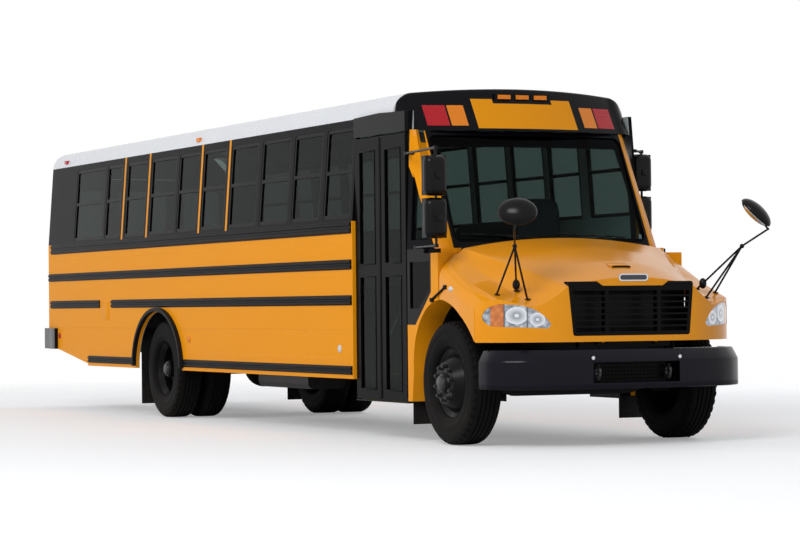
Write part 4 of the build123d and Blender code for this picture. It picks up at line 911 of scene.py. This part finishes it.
mesh = bmesh.new()
for side in (-1, 1):
    spot = surface_point("hood", (fx(0.147), side * 1.6, 1.311), (0, -side, 0))
    ball(mesh, spot, (0.042, 0.012, 0.022))
marker_lens = finish("marker_lens", (0.72, 0.70, 0.66), roughness=0.1, coat=0.8, grain=0.6, relief=facets)
piece("fender_lamps", mesh, marker_lens, "hood")
mesh = bmesh.new()
rows = []
for x, lift in ((0.815, 0.001), (0.890, 0.020), (0.906, 0.018), (0.908, 0.0)):
    row = []
    for y in (-0.10, -0.06, 0.0, 0.06, 0.10):
        spot = surface_point("hood", (fx(x), y, 3.0), (0, 0, -1))
        row.append(mesh.verts.new(spot + Vector((0, 0, lift if abs(y) < 0.09 else lift * 0.4 - 0.001))))
    rows.append(row)
for first, second in zip(rows, rows[1:]):
    for a in range(4):
        mesh.faces.new((first[a], first[a + 1], second[a + 1], second[a]))
bmesh.ops.solidify(mesh, geom=mesh.faces[:], thickness=0.003)
piece("intake_hood", mesh, hood_enamel, "hood", crease=50.0)
mesh = bmesh.new()
spot = surface_point("hood", (fx(0.912), 0.0, 3.0), (0, 0, -1))
slab(mesh, spot - Vector((0.004, 0.085, 0.004)), spot + Vector((0.004, 0.085, 0.014)), 0.003)
piece("intake_mouth", mesh, trim_rubber, "hood")
bright_trim = finish("bright_trim", (0.62, 0.63, 0.65), roughness=0.12, metallic=1.0)
plate_dark = finish("plate_dark", (0.012, 0.016, 0.035), roughness=0.2, coat=0.4)
spot, normal = surface_hit("hood", (fx(2.0), 0.0, 1.389), (-1, 0, 0))
tilt = Matrix.Translation(spot) @ Matrix.Rotation(Vector((0, 0, 1)).angle(normal), 4, "Y")
for name, half_long, half_high, thick, material in (
    ("plate_frame", 0.138, 0.030, 0.008, bright_trim), ("plate_blank", 0.124, 0.020, 0.011, plate_dark),
):
    mesh = bmesh.new()
    bmesh.ops.create_cube(mesh, size=1.0, matrix=Matrix.Diagonal((2 * half_high, 2 * half_long, thick, 1)))
    upright = [e for e in mesh.edges if abs(e.verts[0].co.z - e.verts[1].co.z) > thick / 2]
    bmesh.ops.bevel(mesh, geom=upright, offset=half_high * 0.9, segments=6, profile=0.5, affect="EDGES",
                    material=-1)
    bmesh.ops.transform(mesh, matrix=tilt, verts=mesh.verts)
    piece(name, mesh, material, "hood")


# Grille: black moulded bars on two posts inside a surround, with the radiator's black shield
# behind them.
grille_black = finish("grille_black", (0.003, 0.003, 0.0035), roughness=0.22, specular=0.07)
dress(grille_black, "grille")


# Headlamps: clear moulded lenses over bright reflectors with two round bowls, and an amber turn
# lamp at the outer end. Their glints and light and dark patches are painted reflection in the colour.
def headlamp_painted_reflection_scheme(tree):
    """Painted reflection: bowls painted brighter outwards round a painted bright glint at the bulb, light
    and dark painted reflection patches on the lens between them and on the amber turn lamp outside, and a
    dark housing behind."""
    _, wide, z = coordinates(tree)
    # painted reflection: light and dark patches stand for what the reflectors mirror
    painted_reflection_patches = node(tree, "ShaderNodeTexVoronoi", Vector=object_place(tree), Scale=26.0).outputs["Distance"]
    colour = blend_colour(tree, painted_reflection_patches, (0.62, 0.66, 0.72), (0.10, 0.12, 0.15))
    for bowl_y, bowl_z, radius in ((0.965, 1.085, 0.070), (0.825, 1.052, 0.055)):
        dy = minus(tree, wide, bowl_y)
        dz = minus(tree, z, bowl_z)
        far = maths(tree, "SQRT", maths(tree, "ADD", times(tree, dy, dy), times(tree, dz, dz)))
        share = maths(tree, "DIVIDE", far, radius)
        # painted reflection: each bowl darker in its middle and brighter to its rim
        painted_bowl_reflection = blend_colour(tree, share, (0.12, 0.14, 0.17), (0.80, 0.83, 0.88))
        colour = blend_colour(tree, below(tree, share, 1.0), colour, painted_bowl_reflection)
        # a painted bright glint at the bulb in each bowl's middle
        colour = blend_colour(tree, below(tree, share, 0.22), colour, (0.75, 0.78, 0.85))
    turn_lamp = inside(tree, wide, 1.045, 1.120)
    # the amber turn lamp gets the same painted light and dark reflection patches
    amber_painted_reflection = blend_colour(tree, painted_reflection_patches, (0.80, 0.26, 0.06), (0.45, 0.12, 0.03))
    colour = blend_colour(tree, turn_lamp, colour, amber_painted_reflection)
    facing = node(tree, "ShaderNodeTexCoord").outputs["Normal"]
    forward = node(tree, "ShaderNodeSeparateXYZ", Vector=facing).outputs["X"]
    colour = blend_colour(tree, below(tree, forward, -0.2), colour, (0.02, 0.02, 0.02))
    divider = any_of(tree, inside(tree, wide, 0.893, 0.900), inside(tree, wide, 1.040, 1.046))
    return blend_colour(tree, divider, colour, (0.07, 0.08, 0.09))


def flutes(tree):
    """Height of the reflector's flutes."""
    _, wide, _ = coordinates(tree)
    wave = maths(tree, "SINE", times(tree, wide, 260.0))
    return times(tree, wave, 0.5)


headlamp = finish("headlamp_unit", (0.8, 0.8, 0.8), roughness=0.18, metallic=0.75, coat=0.6,
                  scheme=headlamp_painted_reflection_scheme, grain=0.35, relief=flutes)
dress(headlamp, "headlamps")


# Bumpers: in front a bent steel channel in dark gloss enamel, bolted to the rails, with a mesh
# screen in its opening and two tow eyes. The rear one is plain and wraps round the corners.
bumper_enamel = finish("bumper_enamel", (0.004, 0.004, 0.009), roughness=0.16, spread=0.08, specular=0.14)
dress(bumper_enamel, "bumpers")
# y and x of the face, from the kerb side across
bumper_plan = [
    (-1.190, 0.640), (-1.190, 0.760), (-1.180, 0.800), (-1.155, 0.850), (-1.110, 0.905), (-1.050, 0.955),
]
face_half = (0.96, 0.82, 0.69, 0.55, 0.405, 0.27, 0.135)
for y in (*(-y for y in face_half), 0.0, *reversed(face_half)):
    bumper_plan.append((y, 1.185 - 0.1745 * (y / 1.05) ** 2 - (0.010 if abs(y) > 0.9 else 0.0)))
bumper_plan += [(-y, x) for y, x in reversed(bumper_plan[:6])]
# depth behind the face and z, from the bottom up
bumper_section = (
    (0.060, 0.482), (0.012, 0.481), (0.003, 0.485), (0.0, 0.495), (0.0, 0.530), (0.0, 0.615), (0.0, 0.700),
    (0.002, 0.712), (0.008, 0.722), (0.045, 0.796), (0.052, 0.802), (0.062, 0.804), (0.110, 0.804),
)
mesh = bmesh.new()
rows = []
for place_in, (y, x) in enumerate(bumper_plan):
    before = Vector(bumper_plan[max(place_in - 1, 0)])
    after = Vector(bumper_plan[min(place_in + 1, len(bumper_plan) - 1)])
    along_y, along_x = (after - before).normalized()
    rows.append([
        mesh.verts.new((fx(x - along_y * depth), y + along_x * depth, z)) for depth, z in bumper_section
    ])
for first, second in zip(rows, rows[1:]):
    for count in range(len(bumper_section) - 1):
        corners = (first[count], first[count + 1], second[count + 1], second[count])
        middle = sum((v.co for v in corners), Vector()) / 4
        if abs(middle.y) < 0.40 and 0.53 < middle.z < 0.70:
            continue
        mesh.faces.new(corners)
bmesh.ops.recalc_face_normals(mesh, faces=mesh.faces)
bmesh.ops.solidify(mesh, geom=mesh.faces[:], thickness=0.009)
front_bumper = piece("front_bumper", mesh, bumper_enamel, "root", crease=28.0)
mesh = bmesh.new()
# x and y: the inner line and the outer line of the driver's half
inner_half = ((-10.680, 1.219), (-11.060, 1.219), (-11.130, 1.150))
outer_half = ((-11.170, 1.170), (-11.150, 1.215), (-11.076, 1.261), (-10.680, 1.261))
kerb_half = ((x, -y) for x, y in (*reversed(inner_half), *reversed(outer_half)))
rear_plan = (*inner_half, *kerb_half, *outer_half)
extruded(mesh, [(fx(x), y, 0) for x, y in rear_plan], (0, 0, 0.705), (0, 0, 0.245))
for side in (-1, 1):
    slab(mesh, (fx(-11.14), side * 0.39, 0.74), (fx(-11.071), side * 0.47, 0.90))
    slab(mesh, (fx(0.90), side * 0.40, 0.68), (fx(1.11), side * 0.47, 0.79))
piece("rear_bumper", mesh, bumper_enamel, "root")
mesh = bmesh.new()
# distance from the middle, z, height of the head, radius, sides, radius of the top
for out, z, height, radius, sides, top in (
    (0.406, 0.735, 0.006, 0.018, 20, 0.015), (0.69, 0.60, 0.005, 0.012, 16, 0.010),
    (0.69, 0.68, 0.005, 0.012, 16, 0.010),
):
    for side in (-1, 1):
        spot = surface_point("bumpers", (fx(2.0), side * out, z), (-1, 0, 0))
        bar(mesh, spot - Vector((0.004, 0, 0)), spot + Vector((height, 0, 0)), radius, sides, top)
piece("bumper_bolts", mesh, bright_trim)
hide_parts("bumpers")
mesh = bmesh.new()
for count in range(27):
    y = -0.39 + 0.03 * count
    bar(mesh, (fx(1.085), y, 0.532), (fx(1.085), y, 0.698), 0.0025, 5)
for z in (0.56, 0.59, 0.62, 0.65, 0.68):
    bar(mesh, (fx(1.088), -0.403, z), (fx(1.088), 0.403, z), 0.0025, 5)
slab(mesh, (fx(1.040), -0.420, 0.512), (fx(1.044), 0.420, 0.712))
piece("bumper_screen", mesh, grille_black)
mesh = bmesh.new()
for y in (-0.33, 0.33):
    for count in range(10):
        a, b = 2 * pi * count / 10, 2 * pi * (count + 1) / 10
        bar(mesh, (fx(1.10 + 0.035 * cos(a)), y, 0.615 + 0.05 * sin(a)),
            (fx(1.10 + 0.035 * cos(b)), y, 0.615 + 0.05 * sin(b)), 0.012, 8)
    block(mesh, (fx(1.0475), y, 0.615), (0.0275, 0.015, 0.030), 0.004)
piece("tow_eyes", mesh, nut_steel)


# Crossview mirrors: oval domed mirrors on black steel tripods that stand on the fenders.
mirror_shell = finish("mirror_shell", (0.003, 0.003, 0.0035), roughness=0.24, specular=0.16)
mirror_silver = finish("mirror_silver", (0.80, 0.81, 0.82), roughness=0.02, spread=0.0, metallic=1.0)
dress(mirror_shell, "side_mirrors")
leg_radius = 0.0085
# x and distance from the bus's middle of each tripod's feet; the rubber boot is on the last
feet = ((0.679, 1.038), (0.854, 0.845), (0.683, 0.857))
mesh = bmesh.new()
for side in (-1, 1):
    apex, elbow, head = (Vector((fx(x), side * y, z)) for x, y, z in (
        (1.076, 1.068, 1.646), (1.300, 1.185, 1.782), (1.232, 1.120, 1.900)))
    for x, y in feet:
        spot = surface_point("hood", (fx(x), side * y, 3.0), (0, 0, -1))
        bar(mesh, spot, apex, leg_radius, 10)
        block(mesh, spot, (0.030, 0.018, 0.006), 0.003)
        bar(mesh, spot, spot + Vector((0, 0, 0.014)), 0.011, 8)
    ball(mesh, spot + (apex - spot) * 0.14, (0.032, 0.032, 0.046), 16)
    bar(mesh, apex, elbow, leg_radius, 10)
    bar(mesh, elbow, head, leg_radius, 10)
    for spot, size in ((apex, 0.020), (elbow, 0.011)):
        ball(mesh, spot, (size, size, size), 14, 8)
tripods = piece("crossview_tripods", mesh, mirror_shell, "hood")


def oval_dome(mesh, middle, normal, along, half_long, half_short, ahead, behind):
    """An oval lens, domed by ahead on the side of its normal and by behind on the other."""
    made = bmesh.ops.create_uvsphere(mesh, u_segments=40, v_segments=20, radius=1.0)
    normal = Vector(normal).normalized()
    along = (Vector(along) - normal * normal.dot(Vector(along))).normalized()
    short = normal.cross(along)
    for vert in made["verts"]:
        a, b, c = vert.co
        vert.co = (Vector(middle) + along * a * half_long + short * b * half_short
                   + normal * c * (ahead if c > 0 else behind))


# middle's Y, the shell's outward way and the oval's long way; each is aimed at the driver
crossview_aims = (
    (-1.114, (0.80, -0.45, 0.40), (0.35, 0.93, -0.12)),
    (1.114, (0.52, 0.50, 0.70), (0.294, 0.643, -0.707)),
)
mesh = bmesh.new()
glass = bmesh.new()
for y, normal, along in crossview_aims:
    oval_dome(mesh, (fx(1.221), y, 1.916), normal, along, 0.160, 0.120, 0.075, 0.014)
    oval_dome(glass, (fx(1.221), y, 1.916), normal, along, 0.150, 0.110, 0.006, 0.050)
piece("crossview_domes", mesh, mirror_shell, "hood", crease=60.0)
piece("crossview_glass", glass, mirror_silver, "hood", crease=60.0)
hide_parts("crossview_mirrors")


# Side mirrors: two rounded plastic shells on each bent steel tube, with flat glass to the rear
# and a clamp in the middle of each shell.
mesh = bmesh.new()
glass = bmesh.new()
mirror_y = 1.335
for side, x, heads in ((-1, 0.165, (2.258, 1.903)), (1, -1.070, (2.369, 1.985))):
    for z in heads:
        block(mesh, (fx(x) - 0.016, side * mirror_y, z), (0.064, 0.100, 0.170), 0.058, 7)
        block(mesh, (fx(x) + 0.053, side * mirror_y, z), (0.009, 0.024, 0.028), 0.006)
        block(glass, (fx(x) - 0.08075, side * mirror_y, z), (0.00175, 0.078, 0.146), 0.001)
piece("mirror_shells", mesh, mirror_shell, "root", crease=45.0)
piece("mirror_faces", glass, mirror_silver)


# Stop arm: a flat steel octagon, red and blank with a pale edge, on a hinge behind the driver.
def stop_scheme(tree):
    """Red with a pale border along the octagon's edge."""
    x, _, z = coordinates(tree)
    dx = maths(tree, "ABSOLUTE", minus(tree, x, fx(-2.20)))
    dz = maths(tree, "ABSOLUTE", minus(tree, z, 1.72))
    slant = times(tree, maths(tree, "ADD", dx, dz), 0.7071)
    reach = maths(tree, "MAXIMUM", maths(tree, "MAXIMUM", dx, dz), slant)
    border = inside(tree, reach, 0.218, 0.236)
    return blend_colour(tree, border, (0.50, 0.008, 0.010), (0.78, 0.78, 0.76))


dress(finish("stop_enamel", red, roughness=0.3, specular=0.1, scheme=stop_scheme), "stop_arm")


# Rubber guards: black arch flares round the rear wheels, and mud flaps behind each wheel.
guard_rubber = finish("guard_rubber", (0.005, 0.005, 0.006), roughness=0.55, specular=0.15, dust=0.1,
                      grain=0.3)
dress(guard_rubber, "rubber_guards")


# Dashboard: a moulded dark plastic cowl with a binnacle of plain dials, vents and the wheel.
dash_plastic = finish("dash_plastic", (0.020, 0.022, 0.024), roughness=0.55, specular=0.35, grain=0.4,
                      grain_scale=1200.0)
dress(dash_plastic, "dashboard")
mesh = bmesh.new()
for y in (0.44, 0.53, 0.62, 0.71):
    bar(mesh, (fx(-0.545), y, 1.395), (fx(-0.565), y, 1.385), 0.036, 24)
piece("dials", mesh, finish("dial_face", (0.02, 0.02, 0.022), roughness=0.2, coat=0.6))
mesh = bmesh.new()
for y in (-0.75, -0.35, 0.05, 0.95):
    for step in range(4):
        block(mesh, (fx(-0.5595), y, 1.288 + 0.018 * step), (0.0035, 0.06, 0.003), 0.001)
piece("dash_vents", mesh, trim_rubber)
